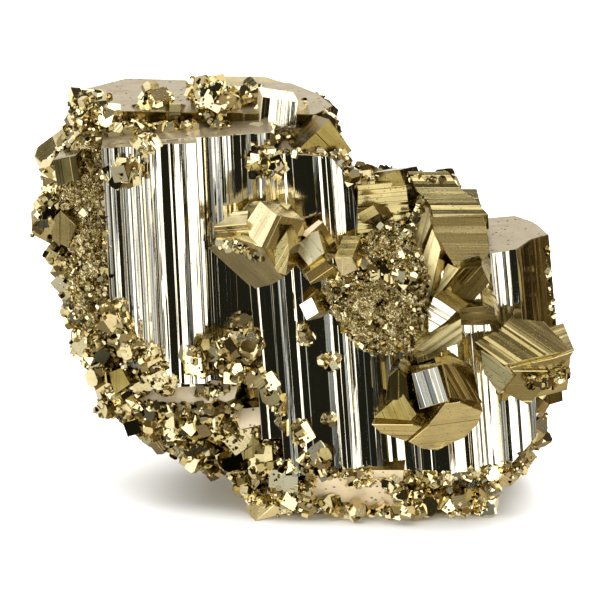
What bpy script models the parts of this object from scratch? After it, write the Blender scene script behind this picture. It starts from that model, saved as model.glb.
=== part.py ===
"""Pyrite cluster: tall growth-lined crystals, interpenetrating cubes and druse, grown as one piece.

Run in Blender 4.5. Tables are in millimetres and degrees; the mesh is in metres, +Z up.
X runs along the specimen's length, -Y is the side with the large striped faces, and Z = 0 is
the flat cut that it rests on. The origin is on that cut, under the middle of the cluster.
"""

import math
import random

import bmesh
import bpy
from mathutils import Euler, Matrix, Vector

MM = 0.001
PART_NAME = "pyrite_cluster"
BRASS_COLOUR = (0.56, 0.46, 0.27, 1.0)
BRASS_ROUGHNESS = 0.28
REST_CUT_SIZE = 200.0
FLAT_ANGLE = 0.002

# A facet crystal: middle of its front face, turn of that face, outline of the face and depth
# behind it. In the face's own plane x runs across the growth lines and y along them.
TALL_CRYSTALS = {
    "left_tall": ((-17, -16, 46), (90, -2, 0),
                  [(-14, -21.5), (12, -21.5), (12, 22.5), (-14, 21.5)], 20),
    "left_tall_step": ((-24.5, -17.5, 46), (90, -2, 0),
                       [(1.5, -20.5), (7.5, -20.5), (7.5, 21.5), (-8, 21), (-8, -7)], 12),
    "dark_tall": ((1.5, -19, 38), (90, -4, 0),
                  [(-7, -28), (9.5, -28), (9.5, 2), (8, 19), (7, 24), (4.5, 27.5), (-3.5, 28.5),
                   (-6.5, 26)], 16),
    "dark_tall_flank": ((-4.5, -18, 32), (90, -4, 0),
                        [(-4, -16), (4, -16), (4, 19), (-4, 19)], 12),
    "low_right": ((23, -18, 26), (90, -5, 0),
                  [(-17, -17.5), (10, -15.5), (14.5, -11), (15, -3), (9, 6), (6, 20), (-15, 20)], 20),
    "right_tall": ((34, -4, 47.5), (0, -6, 0),
                   [(-7, -9), (1, -8.5), (3.5, -4.5), (6.5, -3), (5.5, 1), (4, 5), (1.5, 8.5),
                    (-8, 9)], 30),
    "right_front": ((31.5, -13, 34), (90, -6, 0),
                    [(-7, -14), (4.7, -14), (4.7, 13.4), (-7, 13)], 10),
    "top_back": ((-15.5, 0, 70), (0, 1, 0),
                 [(-20, -9), (17, -9), (20, -4), (17.5, 3), (13, 9), (-15, 10), (-22, 3)], 14),
}

# Narrow growth ledges on the tall faces: from, to and height above the face, on that face's x.
GROWTH_LEDGES = {
    "left_tall_step": [(-7.2, -5.6, 0.5), (-4.4, -3.2, 0.35), (-2.2, -0.4, 0.6), (1.4, 5.4, 0.5)],
    "left_tall": [(8.6, 9.4, 0.4), (11.0, 11.8, 0.5)],
    "dark_tall": [(-2.6, -0.8, 0.5), (3.2, 4.3, 0.45), (6.4, 7.4, 0.5)],
    "low_right": [(-15.8, -13.2, 0.6), (-9.5, -8.6, 0.4), (-5.8, -4.4, 0.5), (0.6, 2.2, 0.6),
                  (4.4, 7.6, 0.5), (10.4, 12.0, 0.5)],
    "right_front": [(-4.6, -2.8, 0.5), (-0.4, 1.2, 0.5)],
}

FACET_CRYSTALS = {
    # twin cubes on the join of the two tallest crystals
    "twin_low": ((-9, -23, 49), (-128, 27, 122),
                 [(7, -5.5), (7, 5), (1, 5.5), (-3.5, 5), (-7, -2), (-3, -5)], 9),
    "twin_high": ((-7.5, -26.5, 56.5), (69, 18, -57),
                  [(-3, -1.5), (-2.5, 3), (2.5, 3.5), (3, -2.5), (0.5, -3.5)], 6),
    "twin_wedge": ((-11, -21.5, 56), (16, 15, -122),
                   [(2.5, -3.5), (-2.5, -2.5), (-2.5, 0.5), (2.5, 3.5)], 6),
    "twin_side": ((-3.5, -27.5, 52), (99, 29, -20),
                  [(-2, -2.5), (-1.5, 4), (0.5, 1), (2, -3.5), (0.5, -4)], 6),
    # knot of small cubes beside them
    "knot_face": ((1, -24.5, 52), (-62, 43, 180),
                  [(2.5, -2), (-1.5, -2), (-2.5, -1.5), (-1, 2), (2.5, 2)], 6),
    "knot_top": ((1, -22.5, 54.5), (30, 1, -62), [(-1, -2), (-1, 2), (0.5, 2), (1, -2)], 5),
    "knot_low": ((2.5, -24, 47.5), (124, 53, 58),
                 [(-2, -2.5), (-2, 1.5), (1.5, 2.5), (2, 0), (1, -2.5)], 6),
    "knot_right": ((6.5, -24, 48.5), (-118, -8, 165),
                   [(2, -1.5), (-1, -2.5), (-2, 0), (0.5, 2.5), (1.5, 1)], 5),
    "lone_cube": ((0.5, -22, 40.5), (74, 51, -48),
                  [(-1.5, -1.5), (-1.5, 1.5), (1.5, 1.5), (1.5, -1.5)], 4),
    # broad crystal at the upper right, with its lined shoulder and steep flanks
    "olive_front": ((25, -21, 51.5), (-171, 78, 104),
                    [(-5, -5), (-5, 3.5), (-1.5, 4.5), (2, 5), (4, 3.5), (5, 1.5), (4.5, -0.5),
                     (0.5, -3), (-2.5, -4.5)], 9),
    "olive_shoulder": ((23, -20, 59.5), (-1, 52, -89),
                       [(-4, -6.5), (-4, 0), (-1, 2), (0.5, 4), (3.5, 6.5), (4, -2.5), (1.5, -3),
                        (-0.5, -5)], 9),
    "steep_flank": ((18.5, -17.5, 53), (-80, -9, 116),
                    [(3, -4.5), (-1.5, -5), (-3, -2), (-2, 5), (2.5, 3.5)], 8),
    "steep_flank_low": ((19.5, -19.5, 45.5), (-98, -19, 148),
                        [(1.5, -1.5), (1, -9), (-1.5, -6), (-2, 3.5), (-0.5, 9), (2, 5)], 7),
    # stack of prisms below it
    "brown_prism": ((26.5, -20.5, 44), (110, 33, 7),
                    [(-2.5, -4.5), (-2.5, 2.5), (-0.5, 4.5), (2.5, 2.5), (2.5, -4.5)], 6),
    "brown_prism_side": ((22.5, -19, 44.5), (72, 35, -61),
                         [(0, -4), (-1.5, 2.5), (1, 4), (1.5, -3.5)], 4),
    "bright_wedge": ((22, -25, 39.5), (-128, 74, 98),
                     [(-4, -2), (-3.5, 3), (-1, 1.5), (4, -2.5), (-0.5, -3)], 3),
    "golden_slab": ((24, -21, 35), (137, 20, 41),
                    [(-4, -5), (-4.5, 3), (-4, 6), (2.5, 0), (4.5, -3.5), (4.5, -6)], 6),
    "brown_step": ((28.5, -20, 38.5), (-177, 72, 95),
                   [(2, -3.5), (-1.5, -3.5), (-2, 0.5), (-0.5, 2.5), (1.5, 3.5), (2, 0.5)], 6),
    # cube that juts out at the right end
    "right_cube_top": ((36, -21, 34), (-24, 26, -136),
                       [(5, -6.5), (0, -5), (-2.5, -5), (-5.5, -0.5), (-4, 6.5), (-1, 4.5),
                        (5.5, 0)], 12),
    "right_cube_front": ((38, -22.5, 28.5), (-164, 74, 117),
                         [(-2, -5.5), (-4, 2), (-5.5, 5.5), (0, 2.5), (5.5, -0.5), (3, -5)], 8),
    "right_cube_side": ((30.5, -23.5, 30), (-69, 61, 178),
                        [(-2, -3.5), (-2.5, 1.5), (-1.5, 3.5), (2.5, 3), (1, -1)], 6),
    # rosette low on the right
    "rosette_cube": ((20, -28, 29), (-77, 19, 176), [(2, -3), (-2.5, -3), (-2.5, 3), (2.5, 3)], 9),
    "rosette_right": ((25, -27.5, 29), (-69, 20, -132),
                      [(0.5, -5), (-1.5, -3), (-2.5, 3.5), (-2.5, 5), (-0.5, 3), (2.5, 0.5)], 9),
    "rosette_leaf": ((23, -24, 20.5), (172, 52, 92),
                     [(3.5, -6), (-1, -3), (-7.5, -0.5), (-7.5, 2), (-3.5, 6), (0.5, 5.5), (4.5, 3.5),
                      (7.5, -1), (6.5, -3.5)], 9),
    "rosette_left": ((14.5, -23, 22.5), (-72, 35, 156), [(4, -1), (-3, -2.5), (-4, 2), (-2.5, 2.5)], 8),
    "rosette_low": ((15.5, -23, 19), (159, 63, 46),
                    [(-2, -4.5), (-2, 3), (-1.5, 4.5), (2, 0.5), (0, -3.5)], 8),
    "rosette_back": ((15, -23, 27.5), (-95, 0, 170),
                     [(1.5, -1.5), (0, -3), (-1.5, -1.5), (-2, 2.5), (2, 3)], 7),
    # pieces along the top, the base and the left edge
    "top_block": ((-4.5, -10.5, 70), (-86, -6, 186), [(3, -3), (-3, -2.5), (-3, 2.5), (3, 3)], 7),
    "top_cube": ((-21.5, -9, 70.5), (8, 70, -92), [(-1, -1), (-1, 1), (1, 1), (1, -1)], 5),
    "base_bevel": ((8, -17, 6.5), (174, 61, 78),
                   [(-6.5, -7.5), (-4.5, -2), (-5, 9), (4.5, 7.5), (6.5, -4), (3, -9)], 8),
    "left_bevel": ((-20, -16.5, 23.5), (6, 65, -91),
                   [(-1.5, -9), (-2.5, -2), (-2, 9), (2, 8), (2.5, -1), (1.5, -8)], 6),
    "lined_block": ((12.5, -19, 56.5), (18, 84, -63),
                    [(-4.5, -4), (-4.5, 4), (2.5, 4.5), (3.5, 2), (4.5, -4.5)], 6),
    "lined_block_cube": ((10, -22.5, 57), (59, 48, -64),
                         [(-1, -2), (-1, 1.5), (1, 2), (1, -1.5)], 4),
    "saddle_crystal": ((13.5, -18, 61.5), (41, 77, -78), [(-1, -3), (-1.5, 2), (1, 3), (1.5, -2)], 6),
    "shoulder_bevel": ((3.5, -17, 66.5), (-77, 41, -151), [(3.5, -3.5), (-3.5, -3), (-2.5, 3.5), (0, 3)], 8),
    "wall_block": ((-9.5, -16.5, 19), (10, 60, -94), [(-1.5, -3), (-2, 2), (1, 3), (2, -1.5)], 6),
    "wall_cube": ((-9.5, -16.5, 14), (-85, 2, 155), [(2.5, -1.5), (-1, -3), (-2.5, 1), (1, 3)], 6),
    "wall_cube_left": ((-31, -17.5, 26), (-85, 3, 140), [(2.5, -1), (-0.5, -2.5), (-2.5, 0), (1, 2.5)], 6),
    "foot_facet": ((-10.5, -14, 5.5), (-110, -7, 163), [(1.5, -1.5), (-0.5, -3), (-1.5, 0.5), (0.5, 3)], 5),
    "foot_facet_low": ((-6.5, -13.5, 3), (-110, -9, 158), [(2, -1), (-1, -3), (-2, 0), (1, 3)], 5),
    "edge_prism": ((-39, -17, 62.5), (-90, 8, 167), [(2, -2), (-2, -2.5), (-2, 1.5), (2, 2.5)], 7),
    "edge_octahedron": ((-40, -14, 51.5), (-105, -9, 157),
                        [(2.5, -0.5), (0.5, -3.5), (-2.5, -1.5), (-1, 3.5), (2, 3)], 7),
}

# Faces of one crystal: the body behind each ends at the planes of the others.
SAME_CRYSTAL = [
    ("twin_low", "twin_high", "twin_side", "twin_wedge"),
    ("knot_face", "knot_top", "knot_low"),
    ("olive_front", "olive_shoulder", "steep_flank", "steep_flank_low"),
    ("olive_front", "brown_prism"),
    ("brown_prism", "brown_prism_side"),
    ("golden_slab", "bright_wedge"),
    ("right_cube_top", "right_cube_front", "right_cube_side"),
    ("rosette_leaf", "rosette_cube", "rosette_right"),
    ("rosette_leaf", "rosette_low", "rosette_left"),
]

# Inner blocks: outline seen from the front as x and height, then the front and back y.
INNER_BLOCKS = {
    "left_mass": ([(-34, 21), (-37, 31), (-40.5, 43), (-41.5, 52), (-42, 60), (-39.5, 65), (-36, 68),
                   (3, 68), (6, 61), (6, 21)], -12, 8),
    "left_foot": ([(-33, 22), (-29, 17), (-20, 12.5), (-11, 4), (-8, -2), (4, -2), (4, 28),
                   (-33, 28)], -11, 10),
    "middle_mass": ([(-9, -2), (30, -2), (33.5, 7), (37.5, 14), (39.5, 20), (38.5, 27), (29, 40),
                     (8, 54), (-9, 54)], -13, 11),
    "saddle_mass": ([(4, 46), (30, 44), (29.5, 49.5), (26, 53.5), (23, 56), (12, 57), (4, 57)],
                    -14, 3),
    "matrix_rock": ([(2.7, 43.8), (4.6, 39.5), (7, 35.3), (11.2, 32), (16.7, 32), (19.7, 36.2),
                     (20.1, 43.4), (18.5, 48.5), (16.8, 53.6), (12.2, 54.6), (8.5, 51), (6.6, 47.4)],
                    -21, -12),
}

# Block crystals behind: centre, edge lengths, turn and how far each corner is cut back.
BACK_CRYSTALS = {
    "back_left": ((-24, 6, 46), (27, 22, 36), (3, 4, -11), 4),
    "back_middle": ((-5, 9, 38), (20, 20, 42), (-4, -7, 17), 4),
    "back_right": ((17, 9, 24), (27, 22, 32), (-4, 5, -12), 4),
    "back_top": ((-11, 5, 60), (19, 15, 19), (8, 9, 30), 3),
    "back_ledge": ((20, 6, 38), (15, 13, 13), (12, -8, 35), 2),
    "back_cube_high": ((-18, 16, 57), (10, 10, 10), (24, 32, 12), 1.5),
    "back_cube_low": ((8, 20, 33), (12, 12, 12), (35, 14, 50), 2),
    "back_cube_end": ((31, 14, 26), (11, 11, 11), (15, 28, 20), 1.5),
    "back_cube_left": ((-33, 14, 38), (12, 12, 12), (30, -18, 40), 2),
    "back_cube_foot": ((-10, 17, 17), (13, 12, 12), (-20, 25, 15), 2),
    "end_cube": ((-32, 4, 32), (10, 12, 12), (20, 24, 8), 2),
    "end_cube_high": ((-39, 3, 56), (8, 10, 10), (15, -30, 25), 1.5),
}

# Rough lumps: centre, half sizes.
ROUGH_LUMPS = {
    "matrix_upper": ((13, -19.5, 49.5), (4.5, 3.5, 4.5)),
    "matrix_lower": ((11.5, -19.5, 40), (6, 4.5, 5)),
    "rough_left_high": ((-35.5, -10.5, 58), (5.5, 5, 8.5)),
    "rough_left_low": ((-35, -11.5, 43), (5, 4.5, 12)),
}

# Bands of small crystals: path, half width of the band, count and range of edge lengths.
DRUSE_BANDS = {
    "left_edge": ([(-40.5, -11, 62), (-41, -11, 50), (-38, -12, 40), (-35, -12, 29),
                   (-32, -12, 20)], 2.4, 28, (2.6, 4.6)),
    "left_wall": ([(-31, -12, 19), (-21, -12, 15.5), (-12.5, -12.5, 9.5), (-7, -13, 3.5)], 3.2, 22,
                  (2.6, 5.0)),
    "inner_wall": ([(-27, -14, 24), (-16, -14, 19), (-8, -15, 13), (-2, -16, 6)], 3.4, 21, (2.4, 4.6)),
    "diagonal": ([(-8, -18, 29), (-3, -18.5, 21), (1, -18.5, 13), (5, -18, 9)], 1.6, 12, (1.8, 3.2)),
    "base_edge": ([(0, -15, 2.5), (14, -14, 2), (28, -13, 3), (35, -12, 8), (39, -11, 16)], 2.0, 22,
                  (2.2, 3.8)),
    "mid_patch": ([(-20, -17, 31), (-14, -17.5, 32), (-8.5, -18, 35)], 3.0, 14, (2.2, 4.0)),
    "top_ridge": ([(-37, -5, 67), (-26, -7, 70), (-15, -4, 70.5), (-8, -4, 70), (2, -8, 66.5)], 2.6, 17,
                  (2.2, 4.2)),
    "top_shelf": ([(-36, -11, 66.5), (-22, -11, 68.5), (-9, -12, 67.5), (3, -14, 64)], 1.2, 11,
                  (1.8, 3.0)),
    "top_ball": ([(-17, -9, 71.5), (-13.5, -9, 72)], 1.8, 8, (2.4, 3.8)),
    "plate_end": ([(-37.5, -6, 69), (-34.5, -8.5, 70), (-31, -9, 69.5)], 1.8, 8, (2.4, 4.4)),
    "left_diagonal": ([(-32.5, -17.5, 40), (-29.5, -18, 34), (-26, -18, 28.5), (-22.5, -18, 25)], 1.6,
                      10, (2.0, 3.8)),
    "back_edge": ([(-36, 10, 62), (-38, 9, 46), (-30, 11, 26), (-18, 11, 14)], 3.0, 14, (3.0, 5.6)),
    "back_seam": ([(-8, 17, 56), (-14, 17, 42), (-12, 17, 30), (-2, 17, 16)], 2.5, 14, (3.0, 5.6)),
    "back_end": ([(33, 8, 40), (34, 9, 24), (28, 14, 10)], 2.5, 10, (3.0, 5.0)),
    "right_end": ([(38, -8, 14), (37, 0, 12), (36, 8, 13)], 2.5, 12, (3.0, 5.0)),
}


def clear_scene():
    for old in list(bpy.data.objects):
        bpy.data.objects.remove(old, do_unlink=True)


def new_collection(name):
    group = bpy.data.collections.new(name)
    bpy.context.scene.collection.children.link(group)
    return group


def turned(at, turn):
    """Place in metres from a centre in millimetres and a turn in degrees."""
    angles = Euler([math.radians(angle) for angle in turn])
    return Matrix.Translation(Vector(at) * MM) @ angles.to_matrix().to_4x4()


def store(bm, name, group):
    """Put a finished closed shape into the group of pieces that grow together."""
    bmesh.ops.recalc_face_normals(bm, faces=bm.faces)
    mesh = bpy.data.meshes.new(name)
    bm.to_mesh(mesh)
    bm.free()
    piece = bpy.data.objects.new(name, mesh)
    piece.hide_render = True
    piece.display_type = "WIRE"
    group.objects.link(piece)
    return piece


def face_planes(name):
    """Middle and outward normal of each front face that shares a crystal with this one."""
    others = {other for faces in SAME_CRYSTAL if name in faces for other in faces if other != name}
    places = [turned(*FACET_CRYSTALS[other][:2]) for other in sorted(others)]
    return [(place.translation, place.col[2].to_3d()) for place in places]


def slab(name, outline, depth, place, group, planes=()):
    """A flat outline with its front face at z = 0 and its body carried back by the depth, where
    its far corners are moved back to any plane that they stand in front of."""
    curve = bpy.data.curves.new(name, "CURVE")
    curve.dimensions = "2D"
    curve.fill_mode = "BOTH"
    curve.extrude = depth / 2 * MM
    line = curve.splines.new("POLY")
    line.points.add(len(outline) - 1)
    for point, (x, y) in zip(line.points, outline):
        point.co = (x * MM, y * MM, 0, 1)
    line.use_cyclic_u = True
    outline_object = bpy.data.objects.new(name, curve)
    group.objects.link(outline_object)
    evaluated = outline_object.evaluated_get(bpy.context.evaluated_depsgraph_get())
    mesh = bpy.data.meshes.new_from_object(evaluated)
    bpy.data.objects.remove(outline_object, do_unlink=True)

    bm = bmesh.new()
    bm.from_mesh(mesh)
    bmesh.ops.remove_doubles(bm, verts=bm.verts, dist=0.01 * MM)
    far_corners = [vert for vert in bm.verts if vert.co.z < 0]
    bmesh.ops.transform(bm, matrix=place @ Matrix.Translation((0, 0, -depth / 2 * MM)), verts=bm.verts)
    for middle, normal in planes:
        for vert in far_corners:
            vert.co -= normal * max(0, (vert.co - middle).dot(normal))
    return store(bm, name, group)


def cut_corner(bm, direction, distance):
    """Cut a convex shape off flat, square to a direction."""
    normal = Vector(direction).normalized()
    everything = bm.verts[:] + bm.edges[:] + bm.faces[:]
    cut = bmesh.ops.bisect_plane(bm, geom=everything, plane_co=normal * distance, plane_no=normal,
                                 clear_outer=True)
    rim = [part for part in cut["geom_cut"] if isinstance(part, bmesh.types.BMEdge)]
    if rim:
        bmesh.ops.edgeloop_fill(bm, edges=rim)


def cube_crystal(name, size, corner, place, group):
    """A block crystal whose eight corners are cut back by the same distance."""
    bm = bmesh.new()
    bmesh.ops.create_cube(bm, size=1.0)
    bmesh.ops.scale(bm, vec=[edge * MM for edge in size], verts=bm.verts)
    if corner:
        reach = (sum(size) / 2 - corner) / math.sqrt(3) * MM
        for sx in (-1, 1):
            for sy in (-1, 1):
                for sz in (-1, 1):
                    cut_corner(bm, (sx, sy, sz), reach)
    bmesh.ops.transform(bm, matrix=place, verts=bm.verts)
    return store(bm, name, group)


def rough_lump(name, at, half_sizes, group):
    """A knobbly lump: a coarse ball with its points moved in and out."""
    dice = random.Random(name)
    bm = bmesh.new()
    bmesh.ops.create_icosphere(bm, subdivisions=1, radius=1.0)
    for vert in bm.verts:
        vert.co *= dice.uniform(0.9, 1.15)
        vert.co = Vector([axis * half * MM for axis, half in zip(vert.co, half_sizes)])
    bmesh.ops.translate(bm, vec=Vector(at) * MM, verts=bm.verts)
    return store(bm, name, group)


def along(path, share):
    """The point at a share of a path's length."""
    points = [Vector(point) for point in path]
    lengths = [(end - start).length for start, end in zip(points, points[1:])]
    left = share * sum(lengths)
    for start, end, length in zip(points, points[1:], lengths):
        if left <= length:
            return start.lerp(end, left / length)
        left -= length
    return points[-1]


def druse_band(name, path, half_width, count, sizes, group):
    """Small cubes scattered along a path, each with a turn of its own."""
    dice = random.Random(name)
    for index in range(count):
        middle = along(path, (index + dice.random()) / count)
        offset = Vector([dice.uniform(-1, 1) for _ in range(3)]).normalized() * half_width
        spread = Vector((1.0, 0.4, 1.0)) * math.sqrt(dice.random())
        at = middle + Vector([a * b for a, b in zip(offset, spread)])
        turn = [dice.uniform(0, 90) for _ in range(3)]
        edge = dice.uniform(*sizes)
        size = [edge * dice.uniform(0.8, 1.2) for _ in range(3)]
        cube_crystal(f"{name}_{index}", size, 0, turned(at, turn), group)


def brass_material():
    material = bpy.data.materials.new("brassy_pyrite")
    material.use_nodes = True
    shader = material.node_tree.nodes["Principled BSDF"]
    shader.inputs["Base Color"].default_value = BRASS_COLOUR
    shader.inputs["Metallic"].default_value = 1.0
    shader.inputs["Roughness"].default_value = BRASS_ROUGHNESS
    return material


def grow_crystals(group):
    """All crystals, lumps and bands that grow out of the first inner block."""
    for name, (outline, front, back) in list(INNER_BLOCKS.items())[1:]:
        slab(name, outline, back - front, turned((0, front, 0), (90, 0, 0)), group)
    for name, (at, turn, outline, depth) in {**TALL_CRYSTALS, **FACET_CRYSTALS}.items():
        slab(name, outline, depth, turned(at, turn), group, face_planes(name))
    for name, ledges in GROWTH_LEDGES.items():
        at, turn, outline, _ = TALL_CRYSTALS[name]
        low = min(y for _, y in outline) + 0.4
        high = max(y for _, y in outline) - 1.4
        for index, (start, end, height) in enumerate(ledges):
            place = turned(at, turn) @ Matrix.Translation((0, 0, height * MM))
            strip = [(start, low), (end, low), (end, high), (start, high)]
            slab(f"{name}_ledge_{index}", strip, height + 1, place, group)
    for name, (at, size, turn, corner) in BACK_CRYSTALS.items():
        cube_crystal(name, size, corner, turned(at, turn), group)
    for name, (at, half_sizes) in ROUGH_LUMPS.items():
        rough_lump(name, at, half_sizes, group)
    for name, (path, half_width, count, sizes) in DRUSE_BANDS.items():
        druse_band(name, path, half_width, count, sizes, group)


def shells(bm):
    """The mesh's faces, sorted into connected shells."""
    waiting = set(bm.faces)
    found = []
    while waiting:
        border = [waiting.pop()]
        shell = list(border)
        while border:
            near = {face for edge in border.pop().edges for face in edge.link_faces} & waiting
            waiting -= near
            border.extend(near)
            shell.extend(near)
        found.append(shell)
    return found


def keep_outer_skin(body):
    """Apply the modifiers and fill the small gaps that are sealed in between crystals."""
    evaluated = body.evaluated_get(bpy.context.evaluated_depsgraph_get())
    mesh = bpy.data.meshes.new_from_object(evaluated)
    bm = bmesh.new()
    bm.from_mesh(mesh)
    by_size = sorted(shells(bm), key=len)
    for inner in by_size[:-1]:
        bmesh.ops.delete(bm, geom=inner, context="FACES")
    bmesh.ops.dissolve_limit(bm, angle_limit=FLAT_ANGLE, verts=bm.verts, edges=bm.edges)
    bm.to_mesh(mesh)
    bm.free()
    body.modifiers.clear()
    body.data = mesh


def main():
    clear_scene()
    cluster = new_collection("pyrite_specimen")
    growth = new_collection("growth")
    cutters = new_collection("cutters")

    name, (outline, front, back) = next(iter(INNER_BLOCKS.items()))
    body = slab(name, outline, back - front, turned((0, front, 0), (90, 0, 0)), cluster)
    body.name = PART_NAME
    body.hide_render = False
    body.display_type = "TEXTURED"
    body.data.materials.append(brass_material())

    grow_crystals(growth)
    together = body.modifiers.new("grown_together", "BOOLEAN")
    together.operation = "UNION"
    together.operand_type = "COLLECTION"
    together.collection = growth
    together.solver = "EXACT"

    size = [REST_CUT_SIZE] * 3
    cutter = cube_crystal("rest_cut", size, 0, turned((0, 0, -REST_CUT_SIZE / 2), (0, 0, 0)), cutters)
    flat = body.modifiers.new("flat_to_rest_on", "BOOLEAN")
    flat.operation = "DIFFERENCE"
    flat.object = cutter
    flat.solver = "EXACT"
    keep_outer_skin(body)


main()
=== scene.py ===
"""Pyrite specimen: growth-lined crystals, jutting cubes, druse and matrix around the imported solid.

Laid out as an add-on and run as a script. Tables are in millimetres and degrees, as the solid's
are; meshes are in metres. X runs along the specimen, -Y is its striped side and Z = 0 its rest cut.
"""

import math
import random

import bpy
import numpy as np
from bpy.props import FloatProperty, FloatVectorProperty, PointerProperty
from mathutils import Euler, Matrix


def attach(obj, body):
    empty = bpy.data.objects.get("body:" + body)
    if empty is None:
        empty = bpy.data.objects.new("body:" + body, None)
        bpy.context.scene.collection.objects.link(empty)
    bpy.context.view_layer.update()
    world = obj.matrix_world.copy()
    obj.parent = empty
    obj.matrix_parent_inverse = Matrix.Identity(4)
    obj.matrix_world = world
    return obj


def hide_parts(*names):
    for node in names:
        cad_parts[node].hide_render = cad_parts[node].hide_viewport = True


bl_info = {
    "name": "Pyrite specimen",
    "version": (1, 0, 0),
    "blender": (4, 5, 0),
    "location": "3D View > Sidebar > Pyrite",
    "description": "Builds a pyrite cluster with growth lines, druse and matrix",
    "category": "Add Mesh",
}

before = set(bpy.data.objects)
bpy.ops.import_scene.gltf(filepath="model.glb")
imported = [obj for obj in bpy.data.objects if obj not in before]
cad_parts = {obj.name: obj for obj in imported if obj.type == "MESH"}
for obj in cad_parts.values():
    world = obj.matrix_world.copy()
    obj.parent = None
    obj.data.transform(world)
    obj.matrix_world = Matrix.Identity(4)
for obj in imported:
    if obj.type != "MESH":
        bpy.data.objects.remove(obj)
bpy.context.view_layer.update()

MM = 0.001
NODE = "pyrite_cluster"
BODY = "root"

# A facet crystal: middle of its front face, turn of that face, outline of the face and depth
# behind it. In the face's own plane x runs across the growth lines and y along them.
TALL_CRYSTALS = {
    "left_tall": ((-17, -16, 46), (90, -2, 0),
                  [(-14, -21.5), (12, -21.5), (12, 22.5), (-14, 21.5)], 20),
    "left_tall_step": ((-24.5, -17.5, 46), (90, -2, 0),
                       [(1.5, -20.5), (7.5, -20.5), (7.5, 21.5), (-8, 21), (-8, -7)], 12),
    "dark_tall": ((1.5, -19, 38), (90, -4, 0),
                  [(-7, -28), (9.5, -28), (9.5, 2), (8, 19), (7, 24), (4.5, 27.5), (-3.5, 28.5),
                   (-6.5, 26)], 16),
    "dark_tall_flank": ((-4.5, -18, 32), (90, -4, 0),
                        [(-4, -16), (4, -16), (4, 19), (-4, 19)], 12),
    "low_right": ((23, -18, 26), (90, -5, 0),
                  [(-17, -17.5), (10, -15.5), (14.5, -11), (15, -3), (9, 6), (6, 20), (-15, 20)], 20),
    "right_front": ((31.5, -13, 34), (90, -6, 0),
                    [(-7, -14), (4.7, -14), (4.7, 13.4), (-7, 13)], 10),
}

# Column crystals: middle of the top face, turn, outline seen from above and length downwards.
COLUMN_CRYSTALS = {
    "right_tall": ((34, -4, 47.5), (0, -6, 0),
                   [(-7, -9), (1, -8.5), (3.5, -4.5), (6.5, -3), (5.5, 1), (4, 5), (1.5, 8.5),
                    (-8, 9)], 30),
    "top_back": ((-15.5, 0, 70), (0, 1, 0),
                 [(-20, -9), (17, -9), (20, -4), (17.5, 3), (13, 9), (-15, 10), (-22, 3)], 14),
}

# Bands across the tall faces from left to right: width, tilt of the narrow facets, number of ribs.
# Untilted facets look back at the dark side of the studio, those that face right are white and
# those that face left grey or blue.
GROWTH_BANDS = {
    "left_tall_step": [(1.1, 9, 3), (0.9, 15, 4), (0.6, 0, 1), (0.5, 14, 2), (0.8, 9, 2), (0.4, -13, 1),
                       (1.6, 15, 6), (0.9, -36, 2), (0.8, 14, 3), (0.8, -14, 3), (0.3, 12, 1),
                       (0.9, -14, 3), (1.3, 0, 2), (0.3, -14, 1), (0.5, 0, 1), (1.3, -14, 4),
                       (0.7, 12, 3), (1.8, -14, 7)],
    "left_tall": [(5.0, 14, 12), (1.5, 0, 2), (3.0, -14, 8), (1.5, 0, 2), (3.0, -14, 8), (1.1, -14, 4),
                  (0.9, -36, 2), (0.5, 15, 2), (0.3, -14, 1), (1.0, 13, 4), (0.4, 0, 1),
                  (0.6, -13, 2), (0.3, 9, 1), (0.4, -13, 1), (0.4, 9, 1), (2.2, 0, 2),
                  (0.7, 14, 2), (0.7, 0, 1), (1.5, 14, 5), (1.0, 9, 3)],
    "dark_tall": [(1.3, 0, 1), (1.1, 12, 3), (1.3, 0, 1), (0.3, -12, 1), (4.6, 0, 3), (0.8, 7, 1),
                  (0.4, -14, 1), (1.6, 2, 2), (0.2, 9, 1), (1.5, -14, 5), (1.6, 0, 1), (1.8, 8, 2)],
    "dark_tall_flank": [(1.2, 0, 1), (0.25, -14, 1), (6.55, 0, 5)],
    "low_right": [(6.7, 0, 5), (0.6, -14, 2), (0.9, 0, 1), (1.3, -14, 3), (1.1, 0, 1), (0.5, 9, 1),
                  (0.5, 0, 1), (0.8, 12, 2), (4.5, 0, 4), (2.7, -14, 7), (1.0, 9, 2), (3.5, -14, 11),
                  (0.3, 9, 1), (1.0, -13, 3), (1.4, 15, 4), (0.6, 0, 1), (1.4, -13, 4), (0.5, 12, 1),
                  (1.3, -13, 4), (1.4, 15, 4)],
    "right_front": [(4.0, 0, 4), (2.2, 15, 6), (1.0, 12, 3), (2.1, -14, 7), (0.6, 9, 2), (0.6, -14, 2),
                    (1.2, 0, 2)],
}

# Growth ledges on the tall faces, from, to and height above the face, on that face's x.
GROWTH_LEDGES = {
    "left_tall_step": [(-6.9, -6.0, 0.5), (-4.1, -2.1, 0.4), (-0.4, 1.6, 0.6), (3.7, 7.4, 0.5)],
    "left_tall": [(2.0, 5.5, 0.4), (9.5, 11.0, 0.5)],
    "dark_tall": [(-5.7, -4.6, 0.5), (1.6, 2.9, 0.3), (4.4, 6.2, 0.5)],
    "low_right": [(-10.3, -9.7, 0.4), (-8.8, -7.5, 0.5), (-0.1, 2.6, 0.5), (3.6, 8.4, 0.5),
                  (10.4, 13.6, 0.5)],
    "right_front": [(-3.0, -0.8, 0.5), (0.2, 3.5, 0.4)],
}

# Where ribs die out down a face: from and to on its x, and the y below which it is nearly flat.
FLAT_PARTS = {"left_tall": (0.6, 12, 5.0)}

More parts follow.
